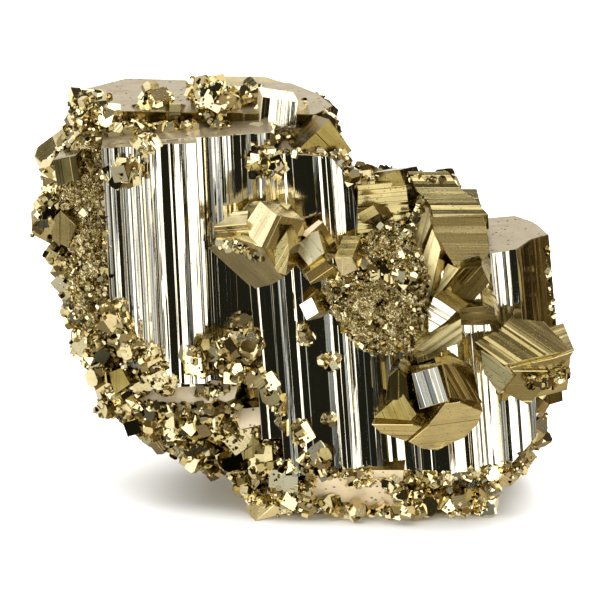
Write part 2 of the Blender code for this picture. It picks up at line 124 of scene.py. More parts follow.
FACET_CRYSTALS = {
    # twin cubes on the join of the two tallest crystals
    "twin_low": ((-9, -23, 49), (-128, 27, 122),
                 [(7, -5.5), (7, 5), (1, 5.5), (-3.5, 5), (-7, -2), (-3, -5)], 9),
    "twin_high": ((-7.5, -26.5, 56.5), (69, 18, -57),
                  [(-3, -1.5), (-2.5, 3), (2.5, 3.5), (3, -2.5), (0.5, -3.5)], 6),
    "twin_wedge": ((-11, -21.5, 56), (16, 15, -122),
                   [(2.5, -3.5), (-2.5, -2.5), (-2.5, 0.5), (2.5, 3.5)], 6),
    "twin_side": ((-3.5, -27.5, 52), (99, 29, -20),
                  [(-2, -2.5), (-1.5, 4), (0.5, 1), (2, -3.5), (0.5, -4)], 6),
    # knot of small cubes beside them
    "knot_face": ((1, -24.5, 52), (-62, 43, 180),
                  [(2.5, -2), (-1.5, -2), (-2.5, -1.5), (-1, 2), (2.5, 2)], 6),
    "knot_top": ((1, -22.5, 54.5), (30, 1, -62), [(-1, -2), (-1, 2), (0.5, 2), (1, -2)], 5),
    "knot_low": ((2.5, -24, 47.5), (124, 53, 58),
                 [(-2, -2.5), (-2, 1.5), (1.5, 2.5), (2, 0), (1, -2.5)], 6),
    "knot_right": ((6.5, -24, 48.5), (-118, -8, 165),
                   [(2, -1.5), (-1, -2.5), (-2, 0), (0.5, 2.5), (1.5, 1)], 5),
    "lone_cube": ((0.5, -22, 40.5), (74, 51, -48),
                  [(-1.5, -1.5), (-1.5, 1.5), (1.5, 1.5), (1.5, -1.5)], 4),
    # broad crystal at the upper right, with its lined shoulder and steep flanks
    "olive_front": ((25, -21, 51.5), (-171, 78, 104),
                    [(-5, -5), (-5, 3.5), (-1.5, 4.5), (2, 5), (4, 3.5), (5, 1.5), (4.5, -0.5),
                     (0.5, -3), (-2.5, -4.5)], 9),
    "olive_shoulder": ((23, -20, 59.5), (-1, 52, -89),
                       [(-4, -6.5), (-4, 0), (-1, 2), (0.5, 4), (3.5, 6.5), (4, -2.5), (1.5, -3),
                        (-0.5, -5)], 9),
    "steep_flank": ((18.5, -17.5, 53), (-80, -9, 116),
                    [(3, -4.5), (-1.5, -5), (-3, -2), (-2, 5), (2.5, 3.5)], 8),
    "steep_flank_low": ((19.5, -19.5, 45.5), (-98, -19, 148),
                        [(1.5, -1.5), (1, -9), (-1.5, -6), (-2, 3.5), (-0.5, 9), (2, 5)], 7),
    # stack of prisms below it
    "brown_prism": ((26.5, -20.5, 44), (110, 33, 7),
                    [(-2.5, -4.5), (-2.5, 2.5), (-0.5, 4.5), (2.5, 2.5), (2.5, -4.5)], 6),
    "brown_prism_side": ((22.5, -19, 44.5), (72, 35, -61),
                         [(0, -4), (-1.5, 2.5), (1, 4), (1.5, -3.5)], 4),
    "bright_wedge": ((22, -25, 39.5), (-128, 74, 98),
                     [(-4, -2), (-3.5, 3), (-1, 1.5), (4, -2.5), (-0.5, -3)], 3),
    "golden_slab": ((24, -21, 35), (137, 20, 41),
                    [(-4, -5), (-4.5, 3), (-4, 6), (2.5, 0), (4.5, -3.5), (4.5, -6)], 6),
    "brown_step": ((28.5, -20, 38.5), (-177, 72, 95),
                   [(2, -3.5), (-1.5, -3.5), (-2, 0.5), (-0.5, 2.5), (1.5, 3.5), (2, 0.5)], 6),
    # cube that juts out at the right end
    "right_cube_top": ((36, -21, 34), (-24, 26, -136),
                       [(5, -6.5), (0, -5), (-2.5, -5), (-5.5, -0.5), (-4, 6.5), (-1, 4.5),
                        (5.5, 0)], 12),
    "right_cube_front": ((38, -22.5, 28.5), (-164, 74, 117),
                         [(-2, -5.5), (-4, 2), (-5.5, 5.5), (0, 2.5), (5.5, -0.5), (3, -5)], 8),
    "right_cube_side": ((30.5, -23.5, 30), (-69, 61, 178),
                        [(-2, -3.5), (-2.5, 1.5), (-1.5, 3.5), (2.5, 3), (1, -1)], 6),
    # rosette low on the right
    "rosette_cube": ((20, -28, 29), (-77, 19, 176), [(2, -3), (-2.5, -3), (-2.5, 3), (2.5, 3)], 9),
    "rosette_right": ((25, -27.5, 29), (-69, 20, -132),
                      [(0.5, -5), (-1.5, -3), (-2.5, 3.5), (-2.5, 5), (-0.5, 3), (2.5, 0.5)], 9),
    "rosette_leaf": ((23, -24, 20.5), (172, 52, 92),
                     [(3.5, -6), (-1, -3), (-7.5, -0.5), (-7.5, 2), (-3.5, 6), (0.5, 5.5), (4.5, 3.5),
                      (7.5, -1), (6.5, -3.5)], 9),
    "rosette_left": ((14.5, -23, 22.5), (-72, 35, 156), [(4, -1), (-3, -2.5), (-4, 2), (-2.5, 2.5)], 8),
    "rosette_low": ((15.5, -23, 19), (159, 63, 46),
                    [(-2, -4.5), (-2, 3), (-1.5, 4.5), (2, 0.5), (0, -3.5)], 8),
    "rosette_back": ((15, -23, 27.5), (-95, 0, 170),
                     [(1.5, -1.5), (0, -3), (-1.5, -1.5), (-2, 2.5), (2, 3)], 7),
    # pieces along the top, the base and the left edge
    "top_block": ((-4.5, -10.5, 70), (-86, -6, 186), [(3, -3), (-3, -2.5), (-3, 2.5), (3, 3)], 7),
    "top_cube": ((-21.5, -9, 70.5), (8, 70, -92), [(-1, -1), (-1, 1), (1, 1), (1, -1)], 5),
    "base_bevel": ((8, -17, 6.5), (174, 61, 78),
                   [(-6.5, -7.5), (-4.5, -2), (-5, 9), (4.5, 7.5), (6.5, -4), (3, -9)], 8),
    "left_bevel": ((-20, -16.5, 23.5), (6, 65, -91),
                   [(-1.5, -9), (-2.5, -2), (-2, 9), (2, 8), (2.5, -1), (1.5, -8)], 6),
    "lined_block": ((12.5, -19, 56.5), (18, 84, -63),
                    [(-4.5, -4), (-4.5, 4), (2.5, 4.5), (3.5, 2), (4.5, -4.5)], 6),
    "lined_block_cube": ((10, -22.5, 57), (59, 48, -64),
                         [(-1, -2), (-1, 1.5), (1, 2), (1, -1.5)], 4),
    "saddle_crystal": ((13.5, -18, 61.5), (41, 77, -78), [(-1, -3), (-1.5, 2), (1, 3), (1.5, -2)], 6),
    "shoulder_bevel": ((3.5, -17, 66.5), (-77, 41, -151),
                       [(3.5, -3.5), (-3.5, -3), (-2.5, 3.5), (0, 3)], 8),
    "wall_block": ((-9.5, -16.5, 19), (10, 60, -94), [(-1.5, -3), (-2, 2), (1, 3), (2, -1.5)], 6),
    "wall_cube": ((-9.5, -16.5, 14), (-85, 2, 155), [(2.5, -1.5), (-1, -3), (-2.5, 1), (1, 3)], 6),
    "wall_cube_left": ((-31, -17.5, 26), (-85, 3, 140),
                       [(2.5, -1), (-0.5, -2.5), (-2.5, 0), (1, 2.5)], 6),
    "foot_facet": ((-10.5, -14, 5.5), (-110, -7, 163),
                   [(1.5, -1.5), (-0.5, -3), (-1.5, 0.5), (0.5, 3)], 5),
    "foot_facet_low": ((-6.5, -13.5, 3), (-110, -9, 158), [(2, -1), (-1, -3), (-2, 0), (1, 3)], 5),
    "edge_prism": ((-39, -17, 62.5), (-90, 8, 167), [(2, -2), (-2, -2.5), (-2, 1.5), (2, 2.5)], 7),
    "edge_octahedron": ((-40, -14, 51.5), (-105, -9, 157),
                        [(2.5, -0.5), (0.5, -3.5), (-2.5, -1.5), (-1, 3.5), (2, 3)], 7),
}

# Faces of one crystal: the body behind each ends at the planes of the others.
SAME_CRYSTAL = [
    ("twin_low", "twin_high", "twin_side", "twin_wedge"),
    ("knot_face", "knot_top", "knot_low"),
    ("olive_front", "olive_shoulder", "steep_flank", "steep_flank_low"),
    ("olive_front", "brown_prism"),
    ("brown_prism", "brown_prism_side"),
    ("golden_slab", "bright_wedge"),
    ("right_cube_top", "right_cube_front", "right_cube_side"),
    ("rosette_leaf", "rosette_cube", "rosette_right"),
    ("rosette_leaf", "rosette_low", "rosette_left"),
]

# Inner blocks: outline seen from the front as x and height, then the front and back y.
INNER_BLOCKS = {
    "left_mass": ([(-34, 21), (-37, 31), (-40.5, 43), (-41.5, 52), (-42, 60), (-39.5, 65), (-36, 68),
                   (3, 68), (6, 61), (6, 21)], -12, 8),
    "left_foot": ([(-33, 22), (-29, 17), (-20, 12.5), (-11, 4), (-8, 0), (4, 0), (4, 28),
                   (-33, 28)], -11, 10),
    "middle_mass": ([(-8.5, 0), (30.5, 0), (33.5, 7), (37.5, 14), (39.5, 20), (38.5, 27), (29, 40),
                     (8, 54), (-9, 54)], -13, 11),
    "saddle_mass": ([(4, 46), (30, 44), (29.5, 49.5), (26, 53.5), (23, 56), (12, 57), (4, 57)],
                    -14, 3),
    "matrix_rock": ([(2.7, 43.8), (4.6, 39.5), (7, 35.3), (11.2, 32), (16.7, 32), (19.7, 36.2),
                     (20.1, 43.4), (18.5, 48.5), (16.8, 53.6), (12.2, 54.6), (8.5, 51), (6.6, 47.4)],
                    -21, -12),
}

# The inner block of rock that shows between the crystals; the others are hidden mass.
ROCK = "matrix_rock"
ROCK_SPACING = 0.36
MASS_SPACING = 0.8
END_RINGS = (0.02, 0.3, 0.55, 0.75, 0.9)       # sizes of the rings that close an inner block
ROCK_RINGS = np.linspace(0.02, 0.98, 30)       # the same for the front of the rock

# Block crystals behind: centre, edge lengths, turn and how far each corner is cut back.
BACK_CRYSTALS = {
    "back_left": ((-24, 6, 46), (27, 22, 36), (3, 4, -11), 4),
    "back_middle": ((-5, 9, 38), (20, 20, 42), (-4, -7, 17), 4),
    "back_right": ((17, 9, 24), (27, 22, 32), (-4, 5, -12), 4),
    "back_top": ((-11, 5, 60), (19, 15, 19), (8, 9, 30), 3),
    "back_ledge": ((20, 6, 38), (15, 13, 13), (12, -8, 35), 2),
    "back_cube_high": ((-18, 16, 57), (10, 10, 10), (24, 32, 12), 1.5),
    "back_cube_low": ((8, 20, 33), (12, 12, 12), (35, 14, 50), 2),
    "back_cube_end": ((31, 14, 26), (11, 11, 11), (15, 28, 20), 1.5),
    "back_cube_left": ((-33, 14, 38), (12, 12, 12), (30, -18, 40), 2),
    "back_cube_foot": ((-10, 17, 17), (13, 12, 12), (-20, 25, 15), 2),
    "end_cube": ((-32, 4, 32), (10, 12, 12), (20, 24, 8), 2),
    "end_cube_high": ((-39, 3, 56), (8, 10, 10), (15, -30, 25), 1.5),
}

# Rough lumps: centre and half sizes, made of so many rings of so many points.
LUMP_RINGS, LUMP_POINTS = 64, 96
ROUGH_LUMPS = {
    "matrix_upper": ((13, -19.5, 49.5), (4.5, 3.5, 4.5)),
    "matrix_lower": ((11.5, -19.5, 40), (6, 4.5, 5)),
    "rough_left_high": ((-35.5, -10.5, 58), (5.5, 5, 8.5)),
    "rough_left_low": ((-35, -11.5, 43), (5, 4.5, 12)),
}

# Bands of small crystals: path, half width of the band, count and range of edge lengths.
DRUSE_BANDS = {
    "left_edge": ([(-40.5, -11, 62), (-41, -11, 50), (-38, -12, 40), (-35, -12, 29),
                   (-32, -12, 20)], 2.4, 28, (2.6, 4.6)),
    "left_wall": ([(-31, -12, 19), (-21, -12, 15.5), (-12.5, -12.5, 9.5), (-7, -13, 3.5)], 3.2, 22,
                  (2.6, 5.0)),
    "inner_wall": ([(-27, -14, 24), (-16, -14, 19), (-8, -15, 13), (-2, -16, 6)], 3.4, 21, (2.4, 4.6)),
    "diagonal": ([(-8, -18, 29), (-3, -18.5, 21), (1, -18.5, 13), (5, -18, 9)], 1.6, 12, (1.8, 3.2)),
    "base_edge": ([(0, -15, 2.5), (14, -14, 2), (28, -13, 3), (35, -12, 8), (39, -11, 16)], 2.0, 22,
                  (2.2, 3.8)),
    "mid_patch": ([(-20, -17, 31), (-14, -17.5, 32), (-8.5, -18, 35)], 3.0, 14, (2.2, 4.0)),
    "top_ridge": ([(-37, -5, 67), (-26, -7, 70), (-15, -4, 70.5), (-8, -4, 70), (2, -8, 66.5)], 2.6, 17,
                  (2.2, 4.2)),
    "top_shelf": ([(-36, -11, 66.5), (-22, -11, 68.5), (-9, -12, 67.5), (3, -14, 64)], 1.2, 11,
                  (1.8, 3.0)),
    "top_ball": ([(-17, -9, 71.5), (-13.5, -9, 72)], 1.8, 8, (2.4, 3.8)),
    "plate_end": ([(-37.5, -6, 69), (-34.5, -8.5, 70), (-31, -9, 69.5)], 1.8, 8, (2.4, 4.4)),
    "left_diagonal": ([(-32.5, -17.5, 40), (-29.5, -18, 34), (-26, -18, 28.5), (-22.5, -18, 25)], 1.6,
                      10, (2.0, 3.8)),
    "back_edge": ([(-36, 10, 62), (-38, 9, 46), (-30, 11, 26), (-18, 11, 14)], 3.0, 14, (3.0, 5.6)),
    "back_seam": ([(-8, 17, 56), (-14, 17, 42), (-12, 17, 30), (-2, 17, 16)], 2.5, 14, (3.0, 5.6)),
    "back_end": ([(33, 8, 40), (34, 9, 24), (28, 14, 10)], 2.5, 10, (3.0, 5.0)),
    "right_end": ([(38, -8, 14), (37, 0, 12), (36, 8, 13)], 2.5, 12, (3.0, 5.0)),
}

# Bands and balls of finer crystals that only the finished surface has.
FINE_BANDS = {
    "twin_crust": ([(-14, -23.5, 52.3), (-10.5, -25.5, 52.3), (-7.5, -26.3, 50.5)], 0.7, 60,
                   (0.4, 1.3)),
    "flank_crust": ([(19, -20, 59), (16.5, -21, 54), (17, -22, 50)], 0.9, 60, (0.5, 1.3)),
    "left_foot_crust": ([(-32.5, -17, 64), (-32.7, -17, 40)], 0.8, 60, (0.4, 1.4)),
    "diagonal_crust": ([(-32, -17.8, 39.5), (-28.5, -18, 33), (-24.5, -18, 27), (-22, -18, 25)], 0.9,
                       110, (0.4, 1.5)),
    "mid_patch_low": ([(-13.5, -18, 33), (-12, -18, 26.5)], 2.6, 70, (0.8, 2.3)),
    "matrix_band": ([(6, -21.5, 48.5), (12, -22.3, 47), (18.5, -21.8, 45)], 1.5, 80, (0.5, 1.8)),
    "matrix_edge": ([(4.8, -19.6, 39.5), (7.2, -19.6, 35.5), (11.2, -19.6, 32)], 0.7, 70, (0.4, 1.2)),
    "column_edge": ([(39.8, -7, 46), (40.6, -7, 38), (41.8, -7, 31)], 0.6, 50, (0.3, 1.1)),
    "shoulder_rim": ([(9, -16, 60.5), (16, -17.5, 61.5), (22, -18.5, 61.3)], 0.8, 60, (0.4, 1.1)),
    "bevel_crust": ([(-17.5, -17, 24.3), (-13.5, -17, 23.8)], 1.2, 40, (0.4, 1.4)),
    "base_rim_top": ([(8.5, -18.3, 9.8), (16.8, -18.2, 9.6)], 0.8, 70, (0.4, 1.3)),
    "base_rim_end": ([(14, -18.6, 9), (15.5, -18.8, 6), (16.5, -18.4, 3.5)], 1.3, 70, (0.5, 1.7)),
    "base_rim_left": ([(0.6, -18.3, 8.6), (-0.4, -17.6, 5)], 0.9, 40, (0.5, 1.5)),
    "base_spot": ([(7.2, -18.6, 8.2), (10.6, -18.7, 8)], 0.6, 34, (0.4, 1.2)),
    "bevel_rim": ([(-29, -17.8, 22), (-20, -18, 21.3), (-11, -17.6, 21.6)], 0.8, 90, (0.5, 1.6)),
    "dark_top_edge": ([(-6.5, -18.5, 66.2), (6.5, -18.5, 65.8), (9.5, -18.5, 58)], 0.7, 60, (0.4, 1.3)),
    "cube_front_crust": ([(36.5, -24.3, 28.5), (40, -23.6, 28), (43, -22.5, 30)], 1.1, 45, (0.4, 1.3)),
    "low_right_foot": ([(12, -18.3, 9.2), (24, -18, 8.8), (36, -17.5, 12)], 0.9, 80, (0.6, 1.8)),
    "dark_tall_foot": ([(-6, -19, 12), (2, -19.3, 10.3), (11, -19.3, 10)], 0.8, 50, (0.5, 1.5)),
    "ball_high": ([(-26.5, -17.5, 67), (-25, -17.5, 67)], 1.6, 26, (1.0, 2.2)),
    "ball_left": ([(-30, -18.5, 62.5), (-28.5, -18.5, 62.5)], 1.9, 30, (1.0, 2.6)),
    "corner_ball": ([(-8, -18, 64.3), (-4.5, -18.5, 63)], 2.3, 45, (0.8, 2.2)),
    "dark_spot": ([(3.6, -19.3, 30.3), (4.8, -19.3, 30.3)], 1.3, 22, (0.7, 1.7)),
    "dark_spot_low": ([(3.5, -19.4, 20.3), (4.2, -19.4, 20)], 0.9, 14, (0.5, 1.2)),
    "dark_spot_high": ([(-0.5, -19.8, 36), (0.3, -19.6, 33.5)], 0.9, 18, (0.5, 1.3)),
    "foot_corner": ([(30.3, -14, 1.6), (31, -10.5, 1.7), (31, -5, 1.7)], 1.0, 80, (0.7, 2.2)),
}

# Facets that aren't golden: mirror-bright ones; pale pitted ones, whose pale, half-matt colour is partly
# painted light; satin ones in a lighter gold, painted light from above; and dull lined ones, whose
# light, mostly matt colour is painted light, with painted shade along their lines.
FACET_KINDS = {
    "mirror_growth_face": ("top_block", "rosette_cube", "lone_cube", "bright_wedge"),
    "pale_pitted_face": ("base_bevel", "left_bevel", "wall_block", "knot_top"),
    "satin_facet": ("twin_low", "twin_high", "twin_wedge", "knot_face", "knot_right"),
    "dull_lined_face": ("steep_flank", "steep_flank_low", "brown_prism_side", "golden_slab"),
}
# The sides of top_block take the pale finish, painted light that keeps them bright.
FACET_SIDES = {"top_block": "pale_pitted_face"}
# Mean lean of the ribs of strongly lined facets and how far they spread about it, in degrees.
LINED_FACES = {"right_cube_top": (0, 6), "right_cube_side": (0, 5), "brown_prism": (0, 4),
               "lined_block": (0, 10), "olive_shoulder": (0, 4), "steep_flank": (8, 8),
               "steep_flank_low": (0, 8), "rosette_right": (0, 7), "brown_prism_side": (0, 6),
               "bright_wedge": (0, 5), "top_block": (5, 8), "twin_wedge": (0, 9),
               "rosette_left": (0, 4), "golden_slab": (0, 3), "rosette_cube": (-8, 6),
               "brown_step": (0, 2), "rosette_low": (0, 2)}
# Tone of a facet, 0 golden to 1 brown, where it isn't left to chance: partly the facet's tarnish, partly
# painted light and shade, a darker or lighter tone standing in for the light each face catches or
# misses.
FACET_TARNISH_AND_PAINTED_LIGHT = {"twin_low": 0.5, "twin_high": 0.15, "twin_side": 0.65, "knot_face": 0.1,
               "knot_right": 0.25, "olive_front": 0.1, "olive_shoulder": 0.35, "steep_flank": 0.0,
               "steep_flank_low": 0.0, "brown_prism": 0.85, "golden_slab": 0.5, "brown_step": 0.5,
               "right_cube_top": 0.62, "right_cube_front": 0.0, "right_cube_side": 0.35,
               "rosette_right": 0.85, "rosette_leaf": 0.45, "rosette_left": 0.95, "rosette_low": 0.2,
               "rosette_back": 1.0, "lined_block": 0.5, "lined_block_cube": 0.85,
               "saddle_crystal": 1.0, "shoulder_bevel": 1.0, "wall_cube": 0.8, "wall_cube_left": 1.0,
               "foot_facet_low": 0.95, "edge_prism": 0.9, "edge_octahedron": 0.5}
# Where the druse is darker or lighter: centre (x, z), reach (x, z), added share of dark.
TONE_PLACES = [((-12, 13), (16, 9), 0.3), ((-14, 35), (9, 9), 0.12),
                  ((-22, 72), (26, 8), -0.42), ((27, 5), (16, 8), -0.48)]
# How far the crust keeps away from the smooth crystals, at their sides and before their fronts,
# and where it keeps further away from a front.
CLEAR_SIDE, CLEAR_FRONT = 0.25, 0.9
CLEAR_FRONTS = {"top_block": 4.0, "right_front": 9.0}
# Parts of the outside kept free of crust, by their low and high corners.
CLEAR_BOXES = [((18, -30, 58), (34, 0, 70)), ((29, -24, 44), (34, -10, 57))]
SUNK_SHARE = 0.12            # how far a crystal of the crust is sunk in, as a share of its edge


# ---------------------------------------------------------------- numbers shared by the shapes

def seeded(name):
    """A random generator that depends on a piece's name alone."""
    return np.random.default_rng([ord(letter) for letter in name])


def rotation(turn):
    """The matrix that turns about X, then Y, then Z, by angles in degrees."""
    return np.array(Euler([math.radians(angle) for angle in turn]).to_matrix())


def placed(points, at, turn):
    """Points from a crystal's own frame in the cluster's, both in millimetres."""
    return points @ rotation(turn).T + np.array(at, float)


def in_own_frame(points, at, turn):
    """Points of the cluster in a crystal's own frame, both in millimetres."""
    return (points - np.array(at, float)) @ rotation(turn)


def smooth_field(points, cell, name):
    """Random values on a cubic lattice, blended between its corners with a smooth step: -1 to 1."""
    size = 32
    lattice = seeded(name).uniform(-1, 1, (size, size, size))
    scaled = np.asarray(points, float) / cell
    base = np.floor(scaled).astype(int)
    part = scaled - base
    part = part * part * (3 - 2 * part)
    total = np.zeros(len(scaled))
    for corner in np.ndindex(2, 2, 2):
        x, y, z = ((base + corner) % size).T
        weight = np.prod(np.where(corner, part, 1 - part), axis=1)
        total += lattice[x, y, z] * weight
    return total


def flat_field(x, y, cell, name):
    """The smooth field on the plane through two of its directions, in the shape of x."""
    points = np.column_stack([np.ravel(x), np.ravel(y), np.zeros(x.size)])
    return smooth_field(points, cell, name).reshape(x.shape)


def broken_field(points, cell, name):
    """Heights of flats that each slope their own way: every point takes the plane of the nearest
    of the middles strewn one to a lattice cell; about -1 to 1."""
    size = 16
    rng = seeded(name)
    middles = rng.random((size, size, size, 3))
    slopes = rng.uniform(-1, 1, (size, size, size, 4))
    scaled = np.asarray(points, float) / cell
    base = np.floor(scaled).astype(int)
    nearest = np.full(len(scaled), np.inf)
    height = np.zeros(len(scaled))
    for step in np.ndindex(3, 3, 3):
        lattice = base + np.array(step) - 1
        x, y, z = (lattice % size).T
        offset = scaled - lattice - middles[x, y, z]
        gap = (offset ** 2).sum(axis=1)
        plane = (offset * slopes[x, y, z, :3]).sum(axis=1) + 0.5 * slopes[x, y, z, 3]
        height = np.where(gap < nearest, plane, height)
        nearest = np.minimum(gap, nearest)
    return height


def rock_relief(points, name):
    """Broken flats of three sizes on a slow swell, in millimetres."""
    return (0.8 * smooth_field(points, 3.6, name) + 0.9 * broken_field(points, 3.0, name + "b")
            + 0.45 * broken_field(points, 1.3, name + "c")
            + 0.2 * broken_field(points, 0.6, name + "d"))


def inner_relief(points, name):
    """A soft unevenness of two sizes that mostly sinks the surface, in millimetres."""
    return (0.3 * smooth_field(points, 2.2, name)
            + 0.15 * smooth_field(points, 0.8, name + "b") - 0.15)


class Surfaces:
    """Finished surfaces waiting to be joined in one mesh: points, faces, line map and finish."""

    def __init__(self):
        self.points, self.corners, self.counts = [], [], []
        self.lines, self.finish, self.tone = [], [], []
        self.size = 0

    def add(self, points, corners, counts, lines, finish, tone=0.5):
        """Take points (n, 3), face corners in one flat array, corners per face, and per corner
        the place across and along the growth lines; finish and tone are per face."""
        self.points.append(points)
        self.corners.append(np.asarray(corners) + self.size)
        self.counts.append(np.asarray(counts))
        self.lines.append(lines)
        self.finish.append(np.broadcast_to(finish, len(counts)))
        self.tone.append(np.broadcast_to(tone, len(counts)))
        self.size += len(points)

    def mesh(self, name, smooth):
        """All the surfaces as one mesh in metres, with nothing below the rest cut."""
        points = np.concatenate(self.points) * MM
        points[:, 2] = np.maximum(points[:, 2], 0.0)
        corners = np.concatenate(self.corners).astype(np.int32)
        counts = np.concatenate(self.counts).astype(np.int32)
        starts = np.concatenate([[0], np.cumsum(counts)[:-1]]).astype(np.int32)
        mesh = bpy.data.meshes.new(name)
        mesh.vertices.add(len(points))
        mesh.vertices.foreach_set("co", points.astype(np.float32).ravel())
        mesh.loops.add(len(corners))
        mesh.loops.foreach_set("vertex_index", corners)
        mesh.polygons.add(len(counts))
        mesh.polygons.foreach_set("loop_start", starts)
        mesh.polygons.foreach_set("material_index", np.concatenate(self.finish).astype(np.int32))
        line_map = mesh.uv_layers.new(name="growth_lines")
        line_map.data.foreach_set("uv", np.concatenate(self.lines).astype(np.float32).ravel())
        tone = mesh.attributes.new("tone", "FLOAT", "FACE")
        tone.data.foreach_set("value", np.concatenate(self.tone).astype(np.float32))
        mesh.update(calc_edges=True)
        if not smooth:
            mesh.shade_flat()
        return mesh


def grid_quads(rows, columns):
    """Corners of the quads of a grid whose points are stored row by row."""
    index = np.arange(rows * columns).reshape(rows, columns)
    quads = np.stack([index[:-1, :-1], index[:-1, 1:], index[1:, 1:], index[1:, :-1]], axis=-1)
    return quads.reshape(-1, 4)


def ring_quads(numbers):
    """Corners of the quads between each closed ring of point numbers and the next one."""
    return np.concatenate([np.stack([a, b, np.roll(b, -1), np.roll(a, -1)], axis=-1)
                           for a, b in zip(numbers, numbers[1:])])


def tube(rings):
    """A closed skin through rings of equally many points, with a flat cap on the first and on the
    last: points, face corners in one flat array, and corners per face."""
    count = len(rings[0])
    numbers = [k * count + np.arange(count) for k in range(len(rings))]
    quads = ring_quads(numbers)
    corners = np.concatenate([numbers[0], quads.ravel(), numbers[-1][::-1]])
    return np.concatenate(rings), corners, [count] + [4] * len(quads) + [count]


def new_object(name, data):
    """An object in the scene that holds this mesh, camera or lamp."""
    obj = bpy.data.objects.new(name, data)
    bpy.context.scene.collection.objects.link(obj)
    return obj


def piece(name, surfaces, finishes, smooth=False):
    """One visible mesh of the specimen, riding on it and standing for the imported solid."""
    obj = new_object(name, surfaces.mesh(name, smooth))
    for finish in finishes:
        obj.data.materials.append(FINISHES[finish])
    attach(obj, BODY)
    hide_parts(NODE)
    return obj


# ---------------------------------------------------------------- crystal shapes

RIB_WIDTHS = (0.45, 1.55)    # narrowest and widest rib, as shares of a band's mean
RISING_SHARE = 0.9           # part of a rib's width that rises at its tilt
LEAN_SPREAD = (0.9, 0.28)    # how far ribs lean about their tilt: degrees, and a share of the tilt
RIB_STEP = 0.02              # most that one rib stands above the next
LEDGE_WALL = 0.02            # width of the steep wall of a ledge
LAYER_STEP = 0.04            # depth over which one growth layer gives way to the next
LAYERS = (0.4, 1.6)          # thinnest and thickest growth layer, as shares of their spacing
LAYERED_DEPTH = 9.0          # the sides show no growth layers deeper than this
LAYERED_SHARE = 0.8          # nor deeper than this share of the crystal
LAYER_SWELL = 0.05           # how far a growth layer stands out of a side
CORNER_GAP = 0.02            # how far inside the ends of an outline the profile starts
FADE = 0.12                  # share by which ribs grow and die down along a face
SIDE_SHIFT = 20              # puts the sides on another part of the line map than the fronts
BLOCK_SHIFT = 40             # the same for the sides of the block crystals


def saw_profile(bands, start, rng, lift):
    """Across positions and heights of narrow ribs: each rib rises at its band's tilt over most of
    its width and falls back over the rest, so its two flats face different ways."""
    xs, heights = [], []
    x = start
    for width, tilt, ribs in bands:
        widths = rng.uniform(*RIB_WIDTHS, ribs)
        widths *= width / widths.sum()
        base = rng.uniform(0.0, lift)
        for w in widths:
            lean = tilt + rng.normal(0, LEAN_SPREAD[0] + LEAN_SPREAD[1] * abs(tilt))
            rise = math.tan(math.radians(lean)) * w * RISING_SHARE
            low = base + rng.uniform(0.0, RIB_STEP) + max(0.0, -rise)
            xs += [x, x + w * RISING_SHARE]
            heights += [low, low + rise]
            x += w
    return np.array(xs), np.array(heights)


def with_ledges(xs, heights, ledges):
    """The profile with the strip between each pair of positions lifted, its walls upright."""
    for low, high, rise in ledges:
        ends = np.array([low, low + LEDGE_WALL, high - LEDGE_WALL, high])
        heights = np.concatenate([heights, np.interp(ends, xs, heights)])
        xs = np.concatenate([xs, ends])
        order = np.argsort(xs)
        xs, heights = xs[order], heights[order]
        lifted = (xs > low + LEDGE_WALL / 2) & (xs < high - LEDGE_WALL / 2)
        heights = heights + np.where(lifted, rise, 0.0)
    return xs, heights


def chords(outline, xs):
    """Lowest and highest y of a convex outline at each x."""
    start = np.array(outline, float)
    end = np.roll(start, -1, axis=0)
    run = end[:, 0] - start[:, 0]
    run = np.where(np.abs(run) < 1e-9, 1e-9, run)
    share = (xs[None, :] - start[:, :1]) / run[:, None]
    y = start[:, 1:] + share * (end[:, 1:] - start[:, 1:])
    spans = (share >= -1e-6) & (share <= 1 + 1e-6)
    return np.where(spans, y, np.inf).min(axis=0), np.where(spans, y, -np.inf).max(axis=0)


def face_planes(name):
    """Middle and outward normal of each front face that shares a crystal with this one."""
    others = {other for faces in SAME_CRYSTAL if name in faces for other in faces if other != name}
    return [(np.array(FACET_CRYSTALS[other][0], float), rotation(FACET_CRYSTALS[other][1])[:, 2])
            for other in sorted(others)]


def side_layers(depth, rng, spacing):
    """Depths behind the front face, two to a growth layer, and how far the side stands out there."""
    levels, offsets = [], []
    level = 0.0
    while level < min(depth * LAYERED_SHARE, LAYERED_DEPTH):
        level += rng.uniform(*LAYERS) * spacing
        levels += [level, level + LAYER_STEP]
        offsets += [rng.uniform(-0.2, 1.0) * LAYER_SWELL, rng.uniform(-0.6, 0.6) * LAYER_SWELL]
    levels = [value for value in levels if value < depth - 0.2]
    return levels + [depth], offsets[:len(levels)] + [0.0]


def ribbed_grid(at, outline, xs, heights, rows, flat_part):
    """Profile points across a convex outline by rows from its lowest to its highest y there: x, y,
    height and distance from the ends. In a flat part the height falls to nothing below a level."""
    low_x, high_x = outline[:, 0].min() + CORNER_GAP, outline[:, 0].max() - CORNER_GAP
    corners_x = outline[(outline[:, 0] > low_x) & (outline[:, 0] < high_x), 0]
    inside = (xs > low_x) & (xs < high_x)
    across = np.concatenate([[low_x], np.sort(np.concatenate([xs[inside], corners_x])), [high_x]])
    across = across[np.concatenate([[True], np.diff(across) > 1e-4])]
    low, high = chords(outline, across)
    y = low + (high - low) * np.linspace(0, 1, rows + 1)[:, None]
    x = np.broadcast_to(across, y.shape)
    z = np.interp(across, xs, heights) * (1 + FADE * flat_field(x * 2, y * 0.1, 1.0, f"fade{at}"))
    if flat_part:
        start, end, level = flat_part
        z = np.where((x > start) & (x < end), z * np.clip((y - level) / 3, 0.03, 1), z)
    return x, y, z, np.minimum(across - low_x, high_x - across)


